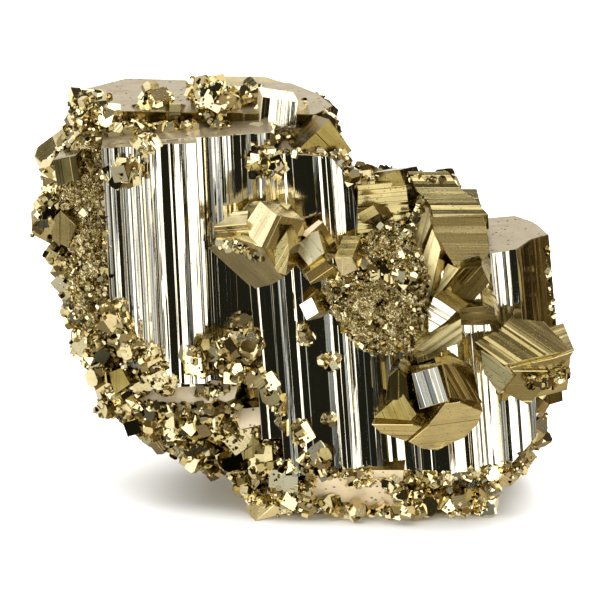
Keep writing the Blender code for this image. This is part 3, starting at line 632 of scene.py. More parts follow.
def lined_slab(surfaces, at, turn, outline, depth, xs, heights, rng, rows, chamfer, finish,
               tone=0.5, spacing=0.6, sway=0.008, planes=(), flat_part=None):
    """A crystal with a growth-lined front face: the front is a grid clipped by the outline, and
    its rim is carried back in thin layers to a far rim. Where the far rim stands in front of one
    of the planes, it is moved back to it."""
    outline = np.array(outline, float)
    x, y, z, edge = ribbed_grid(at, outline, xs, heights, rows, flat_part)
    middle = (outline.max(axis=0) + outline.min(axis=0)) / 2
    half = (outline.max(axis=0) - outline.min(axis=0)) / 2
    inner = (half - chamfer) / half
    wobble = sway * flat_field(x, y * 0.4, 0.7, f"sway{at}")
    front = np.stack([middle[0] + (x - middle[0]) * inner[0] + wobble * np.clip(edge * 4, 0, 1),
                      middle[1] + (y - middle[1]) * inner[1], z], axis=-1).reshape(-1, 3)

    index = np.arange(x.size).reshape(x.shape)
    rim = np.concatenate([index[0, :], index[1:, -1], index[-1, -2::-1], index[-2:0:-1, 0]])
    count = len(rim)
    flat = np.stack([x, y], axis=-1).reshape(-1, 2)[rim]
    outward = (flat - middle) / np.linalg.norm(flat - middle, axis=1)[:, None]
    near = np.column_stack([flat, z.ravel()[rim] - chamfer])
    far = np.column_stack([flat, np.full(count, -float(depth))])
    for origin, normal in planes:
        normal = normal @ rotation(turn)
        far = far - normal * np.maximum(0, (far - in_own_frame(origin, at, turn)) @ normal)[:, None]
    rings = [near]
    for level, offset in zip(*side_layers(depth, rng, spacing)):
        ring = near + (far - near) * (level / depth)
        ring[:, :2] += outward * offset
        rings.append(ring)
    numbers = [rim] + [len(front) + k * count + np.arange(count) for k in range(len(rings))]
    face_quads = grid_quads(*x.shape)
    side_quads = ring_quads(numbers)
    last = numbers[-1][::-1]
    corners = np.concatenate([face_quads.ravel(), side_quads.ravel(), last])
    counts = [4] * (len(face_quads) + len(side_quads)) + [count]

    around = np.concatenate([[0], np.cumsum(np.linalg.norm(np.diff(flat, axis=0), axis=1))])
    side_lines = np.concatenate([np.column_stack([SIDE_SHIFT - ring[:, 2], around]) for ring in rings])
    lines = np.concatenate([front[:, :2], side_lines])
    side_corners = lines[side_quads.ravel()].reshape(-1, 4, 2)
    side_corners[:count, [0, 3], 0] = SIDE_SHIFT
    side_corners[:count, 0, 1] = around
    side_corners[:count, 3, 1] = np.roll(around, -1)
    line_map = np.concatenate([lines[face_quads.ravel()], side_corners.reshape(-1, 2), lines[last]])
    finishes = np.where(np.arange(len(counts)) < len(face_quads), *finish)
    surfaces.add(placed(np.concatenate([front] + rings), at, turn), corners, counts, line_map,
                 finishes, tone)


def outline_ring(outline, spacing):
    """Points along a closed outline, with its corners kept, and their outward directions."""
    outline = np.array(outline, float)
    twice_area = np.sum(outline[:, 0] * np.roll(outline[:, 1], -1)
                        - np.roll(outline[:, 0], -1) * outline[:, 1])
    if twice_area < 0:
        outline = outline[::-1]
    points, normals = [], []
    for start, end in zip(outline, np.roll(outline, -1, axis=0)):
        length = np.linalg.norm(end - start)
        steps = max(1, int(round(length / spacing)))
        share = np.linspace(0, 1, steps, endpoint=False)[:, None]
        points.append(start + share * (end - start))
        direction = (end - start) / length
        normals.append(np.tile([direction[1], -direction[0]], (steps, 1)))
    return np.concatenate(points), np.concatenate(normals)


TOP_RINGS = (0.02, 0.12, 0.25, 0.4, 0.55, 0.7, 0.84, 0.94)    # sizes of the rings of a column's top
COLUMN_ROWS = 8
COLUMN_CHAMFER = 0.12
TOP_ROUGHNESS = 0.05
LOW_RIBS = 0.02              # most that a common rib of a column stands out
HIGH_RIBS = (0.03, 0.1)      # how far one rib in eight stands out
HIGH_RIB_CHANCE = 0.12


def lined_column(surfaces, at, turn, outline, depth, rib, rng, finish):
    """A crystal whose side is lined along its length: the ring of the outline with its points
    moved in and out by ribs, carried down in rows, under a top made of shrinking rings."""
    flat, normals = outline_ring(outline, rib)
    count = len(flat)
    ribs = np.where(np.arange(count) % 3 == 0, 0.0, rng.uniform(0.0, LOW_RIBS, count))
    ribs += np.where(rng.random(count) < HIGH_RIB_CHANCE, rng.uniform(*HIGH_RIBS, count), 0.0)
    ribs = ribs + 0.12 * flat_field(flat[:, 0], flat[:, 1], 3.0, f"ribs{at}")
    ribs = np.clip(ribs, 0, None)
    middle = (flat.max(axis=0) + flat.min(axis=0)) / 2
    rings = []
    for scale in TOP_RINGS:
        ring = middle + (flat - middle) * scale
        rise = TOP_ROUGHNESS * flat_field(ring[:, 0], ring[:, 1], 1.6, f"top{at}")
        pits = np.clip(flat_field(ring[:, 0], ring[:, 1], 0.9, f"pit{at}") - 0.62, 0, 1)
        rings.append(np.column_stack([ring, (rise - 3 * TOP_ROUGHNESS * pits)
                                      * min(1, (1 - scale) * 8)]))
    radius = np.linalg.norm(flat - middle, axis=1)
    inset = middle + (flat - middle) * (1 - COLUMN_CHAMFER / radius)[:, None]
    rings.append(np.column_stack([inset, np.zeros(count)]))
    top = len(TOP_RINGS) * count
    around = np.cumsum(np.linalg.norm(np.diff(flat, axis=0, append=flat[:1]), axis=1))
    for share in np.linspace(0, 1, COLUMN_ROWS):
        level = COLUMN_CHAMFER + (depth - COLUMN_CHAMFER) * share
        fade = 1 + 0.6 * flat_field(around, np.full(count, level * 0.2), 0.8, f"fade{at}")
        ring = flat + normals * (ribs * fade)[:, None]
        rings.append(np.column_stack([ring, np.full(count, -level)]))
    points, corners, counts = tube(rings)
    lines = points[:, [1, 0]].copy()
    lines[top + count:] = np.column_stack([np.tile(around, COLUMN_ROWS), points[top + count:, 2]])
    finishes = np.where(np.arange(len(counts)) < top + 1, *finish)
    surfaces.add(placed(points, at, turn), corners, counts, lines[corners], finishes)


BLOCK_CHAMFER = 0.08
BLOCK_LAYERS = (0.25, 1.3)   # thinnest and thickest growth layer of a block
BLOCK_SWELL = (-0.05, 0.08)  # how far a layer stands in or out
LEAST_CUT = 0.15             # cut of a block's corners halfway along it


def block_crystal(surfaces, at, size, turn, corner, rng, tone):
    """A block with its corners cut back: an eight-sided ring whose cuts grow towards both ends,
    carried along the block in thin layers that stand in and out."""
    half = np.array(size, float) / 2
    levels = [0.0, BLOCK_CHAMFER]
    while levels[-1] < size[2] - 0.5:
        layer = levels[-1] + rng.uniform(*BLOCK_LAYERS)
        levels += [layer, layer + LAYER_STEP]
    levels = [value for value in levels if value < size[2] - 0.3]
    levels += [size[2] - BLOCK_CHAMFER, size[2]]
    rings = []
    for number, level in enumerate(levels):
        end = min(level, size[2] - level)
        cut = max(corner - end, LEAST_CUT)
        inner = 1 < number < len(levels) - 2
        out = rng.uniform(*BLOCK_SWELL) if inner else -BLOCK_CHAMFER * (end < 0.01)
        a, b = half[0] + out, half[1] + out
        ring = [(a, b - cut), (a - cut, b), (cut - a, b), (-a, b - cut), (-a, cut - b), (cut - a, -b),
                (a - cut, -b), (a, cut - b)]
        rings.append(np.column_stack([ring, np.full(8, half[2] - level)]))
    points, corners, counts = tube(rings)
    around = np.cumsum([0] + [float(np.linalg.norm(step)) for step in np.diff(rings[0], axis=0)])
    lines = np.column_stack([points[:, 2] + BLOCK_SHIFT, np.tile(around, len(rings))])[corners]
    for cap in (slice(0, 8), slice(-8, None)):
        lines[cap] = points[corners[cap], :2]
    surfaces.add(placed(points, at, turn), corners, counts, lines, 0, tone)


# ---------------------------------------------------------------- small crystals

ROOF_HEIGHT = 0.38           # how far the roofs of a pyritohedron stand above its cube
CUBE_CORNERS = [(x, y, z) for x in (-1, 1) for y in (-1, 1) for z in (-1, 1)]


def cube_form(cut):
    """Unit cube whose corners are cut: three points by each corner, six eight-sided faces and
    eight triangles. Returns points, corners, counts and the place on the growth lines."""
    points = np.repeat(np.array(CUBE_CORNERS, float) * 0.5, 3, axis=0)
    points[np.arange(24), np.arange(24) % 3] *= 1 - 2 * cut
    return hull_form(points)


def pyritohedron_form():
    """Twelve five-sided faces: the eight corners of a cube and twelve roof points, which stand
    1 + h from the middle along one axis and 1 - h * h along the next."""
    out, aside = 1 + ROOF_HEIGHT, 1 - ROOF_HEIGHT * ROOF_HEIGHT
    roofs = []
    for a in (-1, 1):
        for b in (-1, 1):
            roofs += [(0, a * out, b * aside), (a * out, b * aside, 0), (b * aside, 0, a * out)]
    return hull_form(np.array(CUBE_CORNERS + roofs, float) * 0.4)


def hull_form(points):
    """Flat faces of a convex set of points: the points on each supporting plane, in order."""
    planes = {}
    total = len(points)
    triples = [(i, j, k) for i in range(total) for j in range(i) for k in range(j)]
    for i, j, k in triples:
        normal = np.cross(points[j] - points[i], points[k] - points[i])
        length = np.linalg.norm(normal)
        if length < 1e-9:
            continue
        normal /= length
        gap = (points - points[i]) @ normal
        if gap.max() > 1e-6 and gap.min() < -1e-6:
            continue
        if gap.max() > 1e-6:
            normal = -normal
        members = tuple(np.flatnonzero(np.abs(gap) < 1e-6))
        planes[members] = normal
    corners, counts, lines = [], [], []
    for members, normal in planes.items():
        own = points[list(members)]
        middle = own.mean(axis=0)
        axis = np.cross(normal, (0.3, 0.5, 0.8))
        axis /= np.linalg.norm(axis)
        if np.abs(normal).max() > 0.95:
            axis = np.roll(np.round(np.abs(normal)), 1)
        other = np.cross(normal, axis)
        flat = np.column_stack([(own - middle) @ axis, (own - middle) @ other])
        order = np.argsort(np.arctan2(flat[:, 1], flat[:, 0]))
        corners += [members[n] for n in order]
        counts.append(len(members))
        lines.append(flat[order])
    return points, np.array(corners), np.array(counts), np.concatenate(lines)


def random_turns(count, rng):
    """Evenly spread random rotation matrices, from random unit quaternions."""
    q = rng.normal(size=(count, 4))
    w, x, y, z = (q / np.linalg.norm(q, axis=1)[:, None]).T
    rows = [[1 - 2 * (y * y + z * z), 2 * (x * y - w * z), 2 * (x * z + w * y)],
            [2 * (x * y + w * z), 1 - 2 * (x * x + z * z), 2 * (y * z - w * x)],
            [2 * (x * z - w * y), 2 * (y * z + w * x), 1 - 2 * (x * x + y * y)]]
    return np.moveaxis(np.array(rows), -1, 0)


def tone_by_place(points, tones):
    """The tones pushed towards light and dark by a smooth step, then shifted near each place.

    The shift fades as exp(-d^2), where d is the distance in units of the place's reach."""
    eased = tones * tones * (3 - 2 * tones)
    for (x, z), (reach_x, reach_z), added in TONE_PLACES:
        away = ((points[:, 0] - x) / reach_x) ** 2 + ((points[:, 2] - z) / reach_z) ** 2
        eased = eased + added * np.exp(-away)
    return eased.clip(0, 1)


def strew(surfaces, form, centres, sizes, turns, tones):
    """Copies of one small form, each scaled, turned and moved to its centre, as one array. Each
    has its own part of the line map."""
    points, corners, counts, lines = form
    total = len(centres)
    if total == 0:
        return
    scaled = points[None] * sizes[:, None, :]
    moved = np.einsum("nij,npj->npi", turns, scaled) + centres[:, None]
    numbers = corners[None] + (np.arange(total) * len(points))[:, None]
    spread = sizes.mean(axis=1)
    shifted = lines[None] * spread[:, None, None] + (np.arange(total) % 97 * 7.3)[:, None, None]
    surfaces.add(moved.reshape(-1, 3), numbers.ravel(), np.tile(counts, total),
                 shifted.reshape(-1, 2), 0, np.repeat(tones, len(counts)))


def solid_triangles():
    """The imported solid's triangles in millimetres, with areas and outward normals."""
    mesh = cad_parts[NODE].data
    points = np.empty(len(mesh.vertices) * 3)
    mesh.vertices.foreach_get("co", points)
    mesh.calc_loop_triangles()
    corners = np.empty(len(mesh.loop_triangles) * 3, dtype=int)
    mesh.loop_triangles.foreach_get("vertices", corners)
    triangles = points.reshape(-1, 3)[corners].reshape(-1, 3, 3) / MM
    cross = np.cross(triangles[:, 1] - triangles[:, 0], triangles[:, 2] - triangles[:, 0])
    length = np.linalg.norm(cross, axis=1)
    return triangles, length / 2, cross / np.maximum(length, 1e-12)[:, None]


def points_on_solid(density, rng):
    """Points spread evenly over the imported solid, so many to each square millimetre."""
    triangles, areas, normals = solid_triangles()
    total = int(areas.sum() * density)
    chosen = rng.choice(len(areas), total, p=areas / areas.sum())
    a, b = rng.random((2, total))
    flip = a + b > 1
    a, b = np.where(flip, 1 - a, a), np.where(flip, 1 - b, b)
    own = triangles[chosen]
    points = own[:, 0] + a[:, None] * (own[:, 1] - own[:, 0]) + b[:, None] * (own[:, 2] - own[:, 0])
    return points, normals[chosen]


def in_outline(outline, x, y, margin):
    """Whether each place lies in a convex outline or within a margin of it."""
    outline = np.array(outline, float)
    left, right = outline[:, 0].min(), outline[:, 0].max()
    low, high = chords(outline, np.clip(x, left, right))
    return (x > left - margin) & (x < right + margin) & (y > low - margin) & (y < high + margin)


def on_smooth_crystal(points):
    """Whether each point lies on or in one of the smooth faced crystals."""
    hit = np.zeros(len(points), bool)
    smooth = {**TALL_CRYSTALS, **COLUMN_CRYSTALS, **FACET_CRYSTALS}
    for name, (at, turn, outline, depth) in smooth.items():
        x, y, z = in_own_frame(points, at, turn).T
        clear = CLEAR_FRONTS.get(name, CLEAR_FRONT)
        hit |= in_outline(outline, x, y, CLEAR_SIDE) & (z > -depth - CLEAR_SIDE) & (z < clear)
    for at, size, turn, _ in BACK_CRYSTALS.values():
        local = np.abs(in_own_frame(points, at, turn))
        hit |= (local < np.array(size) / 2 + CLEAR_SIDE).all(axis=1)
    return hit


def on_lump(points):
    """Whether each point lies on or in the rock or one of the rough lumps."""
    outline, front, back = INNER_BLOCKS[ROCK]
    x, y, z = points.T
    hit = in_outline(outline, x, z, 0.2) & (y > front - 0.5) & (y < back)
    for at, half_sizes in ROUGH_LUMPS.values():
        hit |= (((points - np.array(at)) / (np.array(half_sizes) + 0.4)) ** 2).sum(axis=1) < 1.25
    return hit


def along(path, share):
    """The point at a share of a path's length."""
    points = np.array(path, float)
    lengths = np.linalg.norm(np.diff(points, axis=0), axis=1)
    total = np.concatenate([[0], np.cumsum(lengths)])
    return np.array([np.interp(share * total[-1], total, points[:, axis]) for axis in range(3)])


def band_crystals(name, path, half_width, count, sizes):
    """Centres, sizes and turns of a band's crystals: the same throws as in the solid."""
    dice = random.Random(name)
    centres, edges, turns = [], [], []
    for index in range(count):
        middle = along(path, (index + dice.random()) / count)
        offset = np.array([dice.uniform(-1, 1) for _ in range(3)])
        offset *= half_width / np.linalg.norm(offset)
        spread = np.array((1.0, 0.4, 1.0)) * math.sqrt(dice.random())
        turn = [dice.uniform(0, 90) for _ in range(3)]
        edge = dice.uniform(*sizes)
        centres.append(middle + offset * spread)
        edges.append([edge * dice.uniform(0.8, 1.2) for _ in range(3)])
        turns.append(rotation(turn))
    return np.array(centres), np.array(edges), np.array(turns)


# ---------------------------------------------------------------- finishes

class Wiring:
    """Short calls for adding and joining nodes in one tree."""

    def __init__(self, tree):
        self.tree = tree

    def put(self, value, socket):
        """Join an output to a socket, or set the socket to a number, a vector or a colour."""
        if isinstance(value, bpy.types.NodeSocket):
            self.tree.links.new(value, socket)
        else:
            socket.default_value = as_colour(value) if socket.type == "RGBA" else value

    def add(self, kind, inputs=(), **values):
        """A node with these values, and its inputs fed by name or number."""
        node = self.tree.nodes.new(kind)
        for key, value in values.items():
            setattr(node, key, value)
        for key, value in dict(inputs).items():
            self.put(value, node.inputs[key])
        return node

    def math(self, operation, *terms, clamp=False):
        node = self.add("ShaderNodeMath", enumerate(terms), operation=operation, use_clamp=clamp)
        return node.outputs[0]

    def vector(self, operation, *terms):
        node = self.add("ShaderNodeVectorMath", enumerate(terms), operation=operation)
        return node.outputs["Value" if operation in ("DOT_PRODUCT", "LENGTH") else "Vector"]

    def scale(self, vector, factor):
        node = self.add("ShaderNodeVectorMath", {0: vector, "Scale": factor}, operation="SCALE")
        return node.outputs[0]

    def mix(self, share, a, b):
        """Colour a and colour b, blended by a share from 0 to 1."""
        return self.add("ShaderNodeMix", {0: share, 6: a, 7: b}, data_type="RGBA").outputs[2]

    def ramp(self, value, stops):
        """Colours or grey values at places from 0 to 1, read at the value."""
        node = self.add("ShaderNodeValToRGB", {0: value})
        elements = node.color_ramp.elements
        elements.remove(elements[-1])
        elements[0].position = stops[0][0]
        elements[0].color = as_colour(stops[0][1])
        for place, colour in stops[1:]:
            elements.new(place).color = as_colour(colour)
        return node.outputs[0]

    def split(self, vector):
        """The x, y and z of a vector."""
        return self.add("ShaderNodeSeparateXYZ", {0: vector}).outputs


def as_colour(value):
    """A grey value or three parts of a colour as a socket's four."""
    parts = (value,) * 3 if isinstance(value, (int, float)) else tuple(value)
    return (*parts, 1.0)


def pattern_group(name, inputs, outputs):
    """A node group of float inputs, by name and default, and float outputs. Returns the wiring
    inside it, what it is given and the sockets that take its results."""
    group = bpy.data.node_groups.new(name, "ShaderNodeTree")
    for socket, value in inputs.items():
        made = group.interface.new_socket(socket, in_out="INPUT", socket_type="NodeSocketFloat")
        made.default_value = value
    for socket in outputs:
        group.interface.new_socket(socket, in_out="OUTPUT", socket_type="NodeSocketFloat")
    w = Wiring(group)
    return w, w.add("NodeGroupInput").outputs, w.add("NodeGroupOutput").inputs


LINE_NOISES = ((1.0, 0.0), (3.1, 17.0), (0.33, 41.0))    # fineness and start of each noise


def growth_line_group():
    """Fine straight lines along the second direction of the growth_lines map: noises of three
    widths, stretched along the lines. The height adds the first two, the shade all three."""
    w, given, result = pattern_group("growth_line_pattern", {"Lines per mm": 3.0, "Broken": 0.06},
                                     ["Height", "Shade"])
    place = w.split(w.add("ShaderNodeUVMap", uv_map="growth_lines").outputs[0])
    across = w.math("MULTIPLY", place[0], given["Lines per mm"])
    along_lines = w.math("MULTIPLY", place[1], given["Broken"])
    noises = []
    for scale, start in LINE_NOISES:
        joined = w.add("ShaderNodeCombineXYZ", {0: w.math("MULTIPLY", across, scale),
                                                1: w.math("ADD", along_lines, start)})
        noise = w.add("ShaderNodeTexNoise", noise_dimensions="2D",
                      inputs={"Vector": joined.outputs[0], "Scale": 1.0, "Detail": 1.0})
        noises.append(noise.outputs[0])
    fine = w.math("ADD", noises[0], w.math("MULTIPLY", noises[1], 0.45))
    shade = w.math("ADD", w.math("MULTIPLY", noises[2], 0.6), w.math("MULTIPLY", fine, 0.35))
    w.put(w.math("MULTIPLY", fine, 0.7), result["Height"])
    w.put(shade, result["Shade"])
    return w.tree


GRAIN_SIZES = (1.0, 0.42)    # fineness of the two sets of leaning grains


def grain_group():
    """Fine pits and grains in object space, flat grains that each lean their own way, and a slow
    drift for stains."""
    w, given, result = pattern_group("grain_pattern", {"Grains per mm": 3.0},
                                     ["Height", "Pits", "Stain", "Leaning", "Grain tone"])
    rate = given["Grains per mm"]
    place = w.scale(w.add("ShaderNodeTexCoord").outputs["Object"], 1 / MM)
    fine = w.add("ShaderNodeTexNoise", {"Vector": place, "Scale": rate, "Detail": 4.0,
                                        "Roughness": 0.65})
    cells = w.add("ShaderNodeTexVoronoi", {"Vector": place, "Scale": w.math("MULTIPLY", rate, 0.45)})
    slow = w.add("ShaderNodeTexNoise", {"Vector": place, "Scale": 0.22, "Detail": 3.0})
    leans, tones = [], []
    for size in GRAIN_SIZES:
        shrunk = w.scale(place, w.math("MULTIPLY", rate, size))
        grains = w.add("ShaderNodeTexVoronoi", {"Vector": shrunk, "Scale": 1.0}).outputs
        offset = w.vector("SUBTRACT", shrunk, grains["Position"])
        lean = w.vector("SUBTRACT", grains["Color"], (0.5, 0.5, 0.5))
        leans.append(w.math("DIVIDE", w.vector("DOT_PRODUCT", offset, lean), size))
        tones.append(w.vector("DOT_PRODUCT", grains["Color"], (0.33, 0.33, 0.34)))
    w.put(fine.outputs[0], result["Height"])
    w.put(w.ramp(cells.outputs["Distance"], [(0.08, 1.0), (0.22, 0.0)]), result["Pits"])
    w.put(slow.outputs[0], result["Stain"])
    w.put(w.math("ADD", *leans), result["Leaning"])
    w.put(w.math("MULTIPLY", w.math("ADD", *tones), 0.5), result["Grain tone"])
    return w.tree


def pyrite(name, patterns, clean, dark, pit, roughness, lines, grain, pits, lean=0.0, mottle=0.3,
           streaks=0.15, tones=(0.3, 0.3), metal=1.0):
    """Metallic pyrite: growth lines and grain as bump, darker pits and stains, a tone for each
    crystal between the clean and the dark colour. The share of dark is the tone's, moved by the
    stains (mottle), the shade of the lines (streaks) and the tone of the grains."""
    material = bpy.data.materials.new(name)
    material.use_nodes = True
    w = Wiring(material.node_tree)
    shader = material.node_tree.nodes["Principled BSDF"].inputs
    rate, broken, line_depth = lines
    grain_rate, grain_depth = grain
    line = w.add("ShaderNodeGroup", {"Lines per mm": rate, "Broken": broken},
                 node_tree=patterns["lines"])
    grains = w.add("ShaderNodeGroup", {"Grains per mm": grain_rate}, node_tree=patterns["grain"])
    tone = w.add("ShaderNodeAttribute", attribute_name="tone").outputs["Fac"]
    least, most = tones
    share = w.math("ADD", w.math("MULTIPLY", tone, most - least), least)
    for source, middle, strength in ((grains.outputs["Stain"], 0.5, mottle * 2),
                                     (line.outputs["Shade"], 0.6, streaks * 2),
                                     (grains.outputs["Grain tone"], 0.5, lean * 14)):
        moved = w.math("MULTIPLY", w.math("SUBTRACT", source, middle), strength)
        share = w.math("ADD", share, moved)
    share = w.math("MULTIPLY", share, 1.0, clamp=True)
    pitted = w.math("MULTIPLY", grains.outputs["Pits"], pits)
    w.put(w.mix(pitted, w.mix(share, clean, dark), pit), shader["Base Color"])
    w.put(metal, shader["Metallic"])
    rough = w.math("MULTIPLY", grains.outputs["Height"], roughness * 0.6)
    rough = w.math("ADD", rough, roughness * 0.7)
    w.put(w.math("ADD", rough, w.math("MULTIPLY", pitted, 0.3), clamp=True), shader["Roughness"])
    heights = [(line.outputs["Height"], line_depth),
               (w.math("SUBTRACT", grains.outputs["Height"], pitted), grain_depth)]
    if lean:
        heights.append((grains.outputs["Leaning"], lean))
    normal = {}
    for height, depth in heights:
        bump = w.add("ShaderNodeBump", {"Height": height, "Strength": 1.0, "Distance": depth * MM,
                                        **normal})
        normal = {"Normal": bump.outputs[0]}
    w.put(normal["Normal"], shader["Normal"])
    return material


# Each finish: the colours of its clean and its dark parts, roughness, growth lines (lines per mm,
# how often they break off, depth in mm), grain (grains per mm, depth in mm), how dark its pits are
# and, where they differ from the usual, the other values that pyrite() takes.
FINISH_RECIPES = {
    "mirror_growth_face": dict(clean="bright", dark="golden", roughness=0.08, lines=(4.0, 0.04, 0.014),
                               grain=(2.5, 0.003), pits=0.3, mottle=0.25, streaks=0.6,
                               tones=(0.1, 0.1)),
    "golden_facet": dict(clean="golden", dark="tarnish", roughness=0.2, lines=(2.6, 0.08, 0.01),
                         grain=(3.0, 0.008), pits=0.6, tones=(0.0, 1.0)),
    # partly painted light: the pale, half-matt colour keeps faces bright that would mirror darker
    # things; the pits are the faces' own
    "pale_pitted_face": dict(clean="pale", dark="golden", roughness=0.42, lines=(1.4, 0.4, 0.012),
                             grain=(1.6, 0.05), pits=1.0, mottle=0.5, tones=(0.0, 0.0), metal=0.5),
    "pitted_lid": dict(clean="plate", dark="brown", roughness=0.4, lines=(1.4, 0.4, 0.012),
                       grain=(1.6, 0.05), pits=1.0, mottle=0.8, streaks=0.3, tones=(0.1, 0.1),
                       metal=0.9),
    # painted light: a lighter gold than the golden facets, so these faces look lit from above; their
    # satin roughness is their own
    "satin_facet": dict(clean="light_gold", dark="tarnish", roughness=0.3, lines=(2.6, 0.08, 0.012),
                        grain=(3.0, 0.01), pits=0.6, streaks=0.2, tones=(0.0, 1.0), metal=0.9),
    # painted light and shade: a light, mostly matt colour stands in for the reflection these faces lose
    # behind their neighbours, and strong streaks paint the shade of their ribs
    "dull_lined_face": dict(clean="dull", dark="tarnish", roughness=0.4, lines=(2.6, 0.04, 0.03),
                            grain=(3.0, 0.01), pits=0.6, streaks=1.7, tones=(0.1, 1.0), metal=0.3),
    "druse_crystal": dict(clean="light_gold", dark="tarnish", roughness=0.07, lines=(2.5, 0.1, 0.008),
                          grain=(3.0, 0.006), pits=0.4, streaks=0.05, tones=(0.0, 0.95)),
    "rough_matrix": dict(clean="light_gold", dark="brown", roughness=0.2, lines=(1.0, 1.0, 0.02),
                         grain=(2.6, 0.12), pits=0.9, lean=0.5, tones=(0.45, 0.45)),
    # painted shade: the near-black inner mass stands in for the shade deep between the crystals
    "dark_gaps": dict(clean="brown", dark="gap", roughness=0.3, lines=(1.0, 1.0, 0.02),
                      grain=(2.6, 0.12), pits=0.9, lean=0.3, tones=(0.7, 0.7)),
    # painted shade: the near-black brown of the columns' lined sides stands in for the shade that falls
    # on them
    "dark_column_face": dict(clean="brown", dark="gap", roughness=0.2, lines=(2.4, 0.1, 0.02),
                             grain=(2.0, 0.01), pits=0.4, mottle=0.4, streaks=0.5, tones=(0.6, 0.6)),
}
FINISHES = {}


def make_finishes(own):
    """One material for each recipe, in the colours of the finish settings."""
    patterns = {"lines": growth_line_group(), "grain": grain_group()}
    for name, recipe in FINISH_RECIPES.items():
        colours = {part: tuple(getattr(own, recipe[part])) for part in ("clean", "dark")}
        FINISHES[name] = pyrite(name, patterns, pit=tuple(own.pit), **{**recipe, **colours})


# ---------------------------------------------------------------- settings

def colour_setting(name, description, default):
    """A setting for the light that a finish reflects."""
    return FloatVectorProperty(name=name, description=description, default=default,
                               subtype="COLOR", size=3, min=0, max=1)


def length_setting(name, description, default, least=0.0):
    """A setting in metres, shown in the scene's own unit."""
    return FloatProperty(name=name, description=description, default=default, min=least,
                         unit="LENGTH")


def density_setting(name, description, default):
    """A setting for how many crystals there are to a square millimetre."""
    return FloatProperty(name=name, description=description, default=default, min=0)


class PyriteFinishSettings(bpy.types.PropertyGroup):
    bright: colour_setting("Bright faces", "Reflection of clean mirror faces", (0.89, 0.84, 0.70))
    golden: colour_setting("Golden faces", "Reflection of the brassy facets", (0.72, 0.60, 0.29))
    light_gold: colour_setting("Druse", "Reflection of the small crystals", (0.89, 0.78, 0.48))
    # partly painted light: the colour of the pale pitted faces
    pale: colour_setting("Pale faces", "Reflection of the pale pitted faces", (0.92, 0.77, 0.53))
    plate: colour_setting("Lids", "Reflection of the lids of the tall crystals", (0.45, 0.385, 0.275))
    # painted light: the light colour of the dull lined faces
    dull: colour_setting("Dull faces", "Reflection of the dull lined faces", (0.95, 0.82, 0.43))
    brown: colour_setting("Brown parts", "Reflection of the brown, rough parts", (0.34, 0.25, 0.075))
    tarnish: colour_setting("Tarnish", "Reflection of fully tarnished facets", (0.175, 0.13, 0.034))
    # painted shade: the near-black colour of the gaps between the crystals
    gap: colour_setting("Gaps", "Reflection of the deepest gaps", (0.07, 0.05, 0.025))
    pit: colour_setting("Pits", "Reflection inside a pit", (0.08, 0.055, 0.025))


class PyriteCrystalSettings(bpy.types.PropertyGroup):
    rib: length_setting("Rib width", "Mean width of one rib on the column crystals", 0.34 * MM, 0.1 * MM)
    band_step: length_setting("Band step", "Most that one band stands above another", 0.22 * MM)
    chamfer: length_setting("Edge chamfer", "Narrow chamfer on crystal edges", 0.1 * MM, 0.01 * MM)


class PyriteDruseSettings(bpy.types.PropertyGroup):
    medium_density: density_setting("Medium crystals", "Medium crystals per mm2", 0.1)
    fine_density: density_setting("Fine crystals", "Fine crystals per mm2", 0.5)
    grain_density: density_setting("Matrix grains", "Grains per mm2 on the rough lumps", 1.4)
    medium_size: length_setting("Medium size", "Largest edge of a medium crystal", 3.0 * MM)
    fine_size: length_setting("Fine size", "Largest edge of a fine crystal", 0.95 * MM)
    grain_size: length_setting("Grain size", "Largest edge of a grain", 1.2 * MM)


class PyriteStageSettings(bpy.types.PropertyGroup):
    lens: FloatProperty(name="Lens", description="Focal length on a 36 mm sensor", default=211.8,
                        min=1, unit="CAMERA")
    elevation: FloatProperty(name="View elevation", description="Height of the view above level",
                             default=math.radians(20), subtype="ANGLE")
    distance: length_setting("View distance", "From the camera to its target", 0.6)
    target: FloatVectorProperty(name="Target", description="Point in the middle of the view", size=3,
                                default=(-0.001, 0.0, 0.034), subtype="TRANSLATION", unit="LENGTH")
    floor: length_setting("Floor size", "Edge of the pale floor", 6.0)
    lamp: FloatProperty(name="Floor lamp", description="Power of the soft lamp above", default=26.0,
                        min=0, unit="POWER")


def settings(name):
    """The scene's values of one group of settings."""
    return getattr(bpy.context.scene, f"pyrite_{name}")


# ---------------------------------------------------------------- studio

FLOOR_WHITE = 0.9
FLOOR_FADE = (0.12, 0.4)     # from where to where the floor turns plain white, in metres
LAMP_SIZE = (1.6, 1.2)
LAMP_PLACE = (0.0, -0.05, 0.9)
STUDIO_GLOW = 2.2
WHITE = (1.0, 1.0, 1.0)

# Light around the specimen by angle: 0 is the striped side, positive to the right.
WALL_LIGHT = [(-180, (0.62, 0.60, 0.56)), (-132, (0.58, 0.56, 0.52)), (-124, (0.30, 0.27, 0.2)),
              (-104, (0.30, 0.27, 0.2)), (-98, (0.95, 0.95, 0.93)), (-54, (1.0, 1.0, 0.97)),
              (-48, (0.33, 0.34, 0.35)), (-34, (0.29, 0.31, 0.33)), (-29, (0.12, 0.13, 0.15)),
              (-18, (0.07, 0.08, 0.09)), (-14, (0.006, 0.006, 0.004)), (13, (0.006, 0.006, 0.004)),
              (16, (1.0, 1.0, 0.97)), (46, (1.0, 1.0, 0.96)), (52, (0.09, 0.06, 0.02)),
              (86, (0.11, 0.07, 0.03)), (90, (0.5, 0.44, 0.32)), (102, (0.38, 0.34, 0.25)),
              (106, (0.02, 0.015, 0.01)), (140, (0.03, 0.02, 0.015)), (147, (0.62, 0.60, 0.56)),
              (180, (0.62, 0.60, 0.56))]
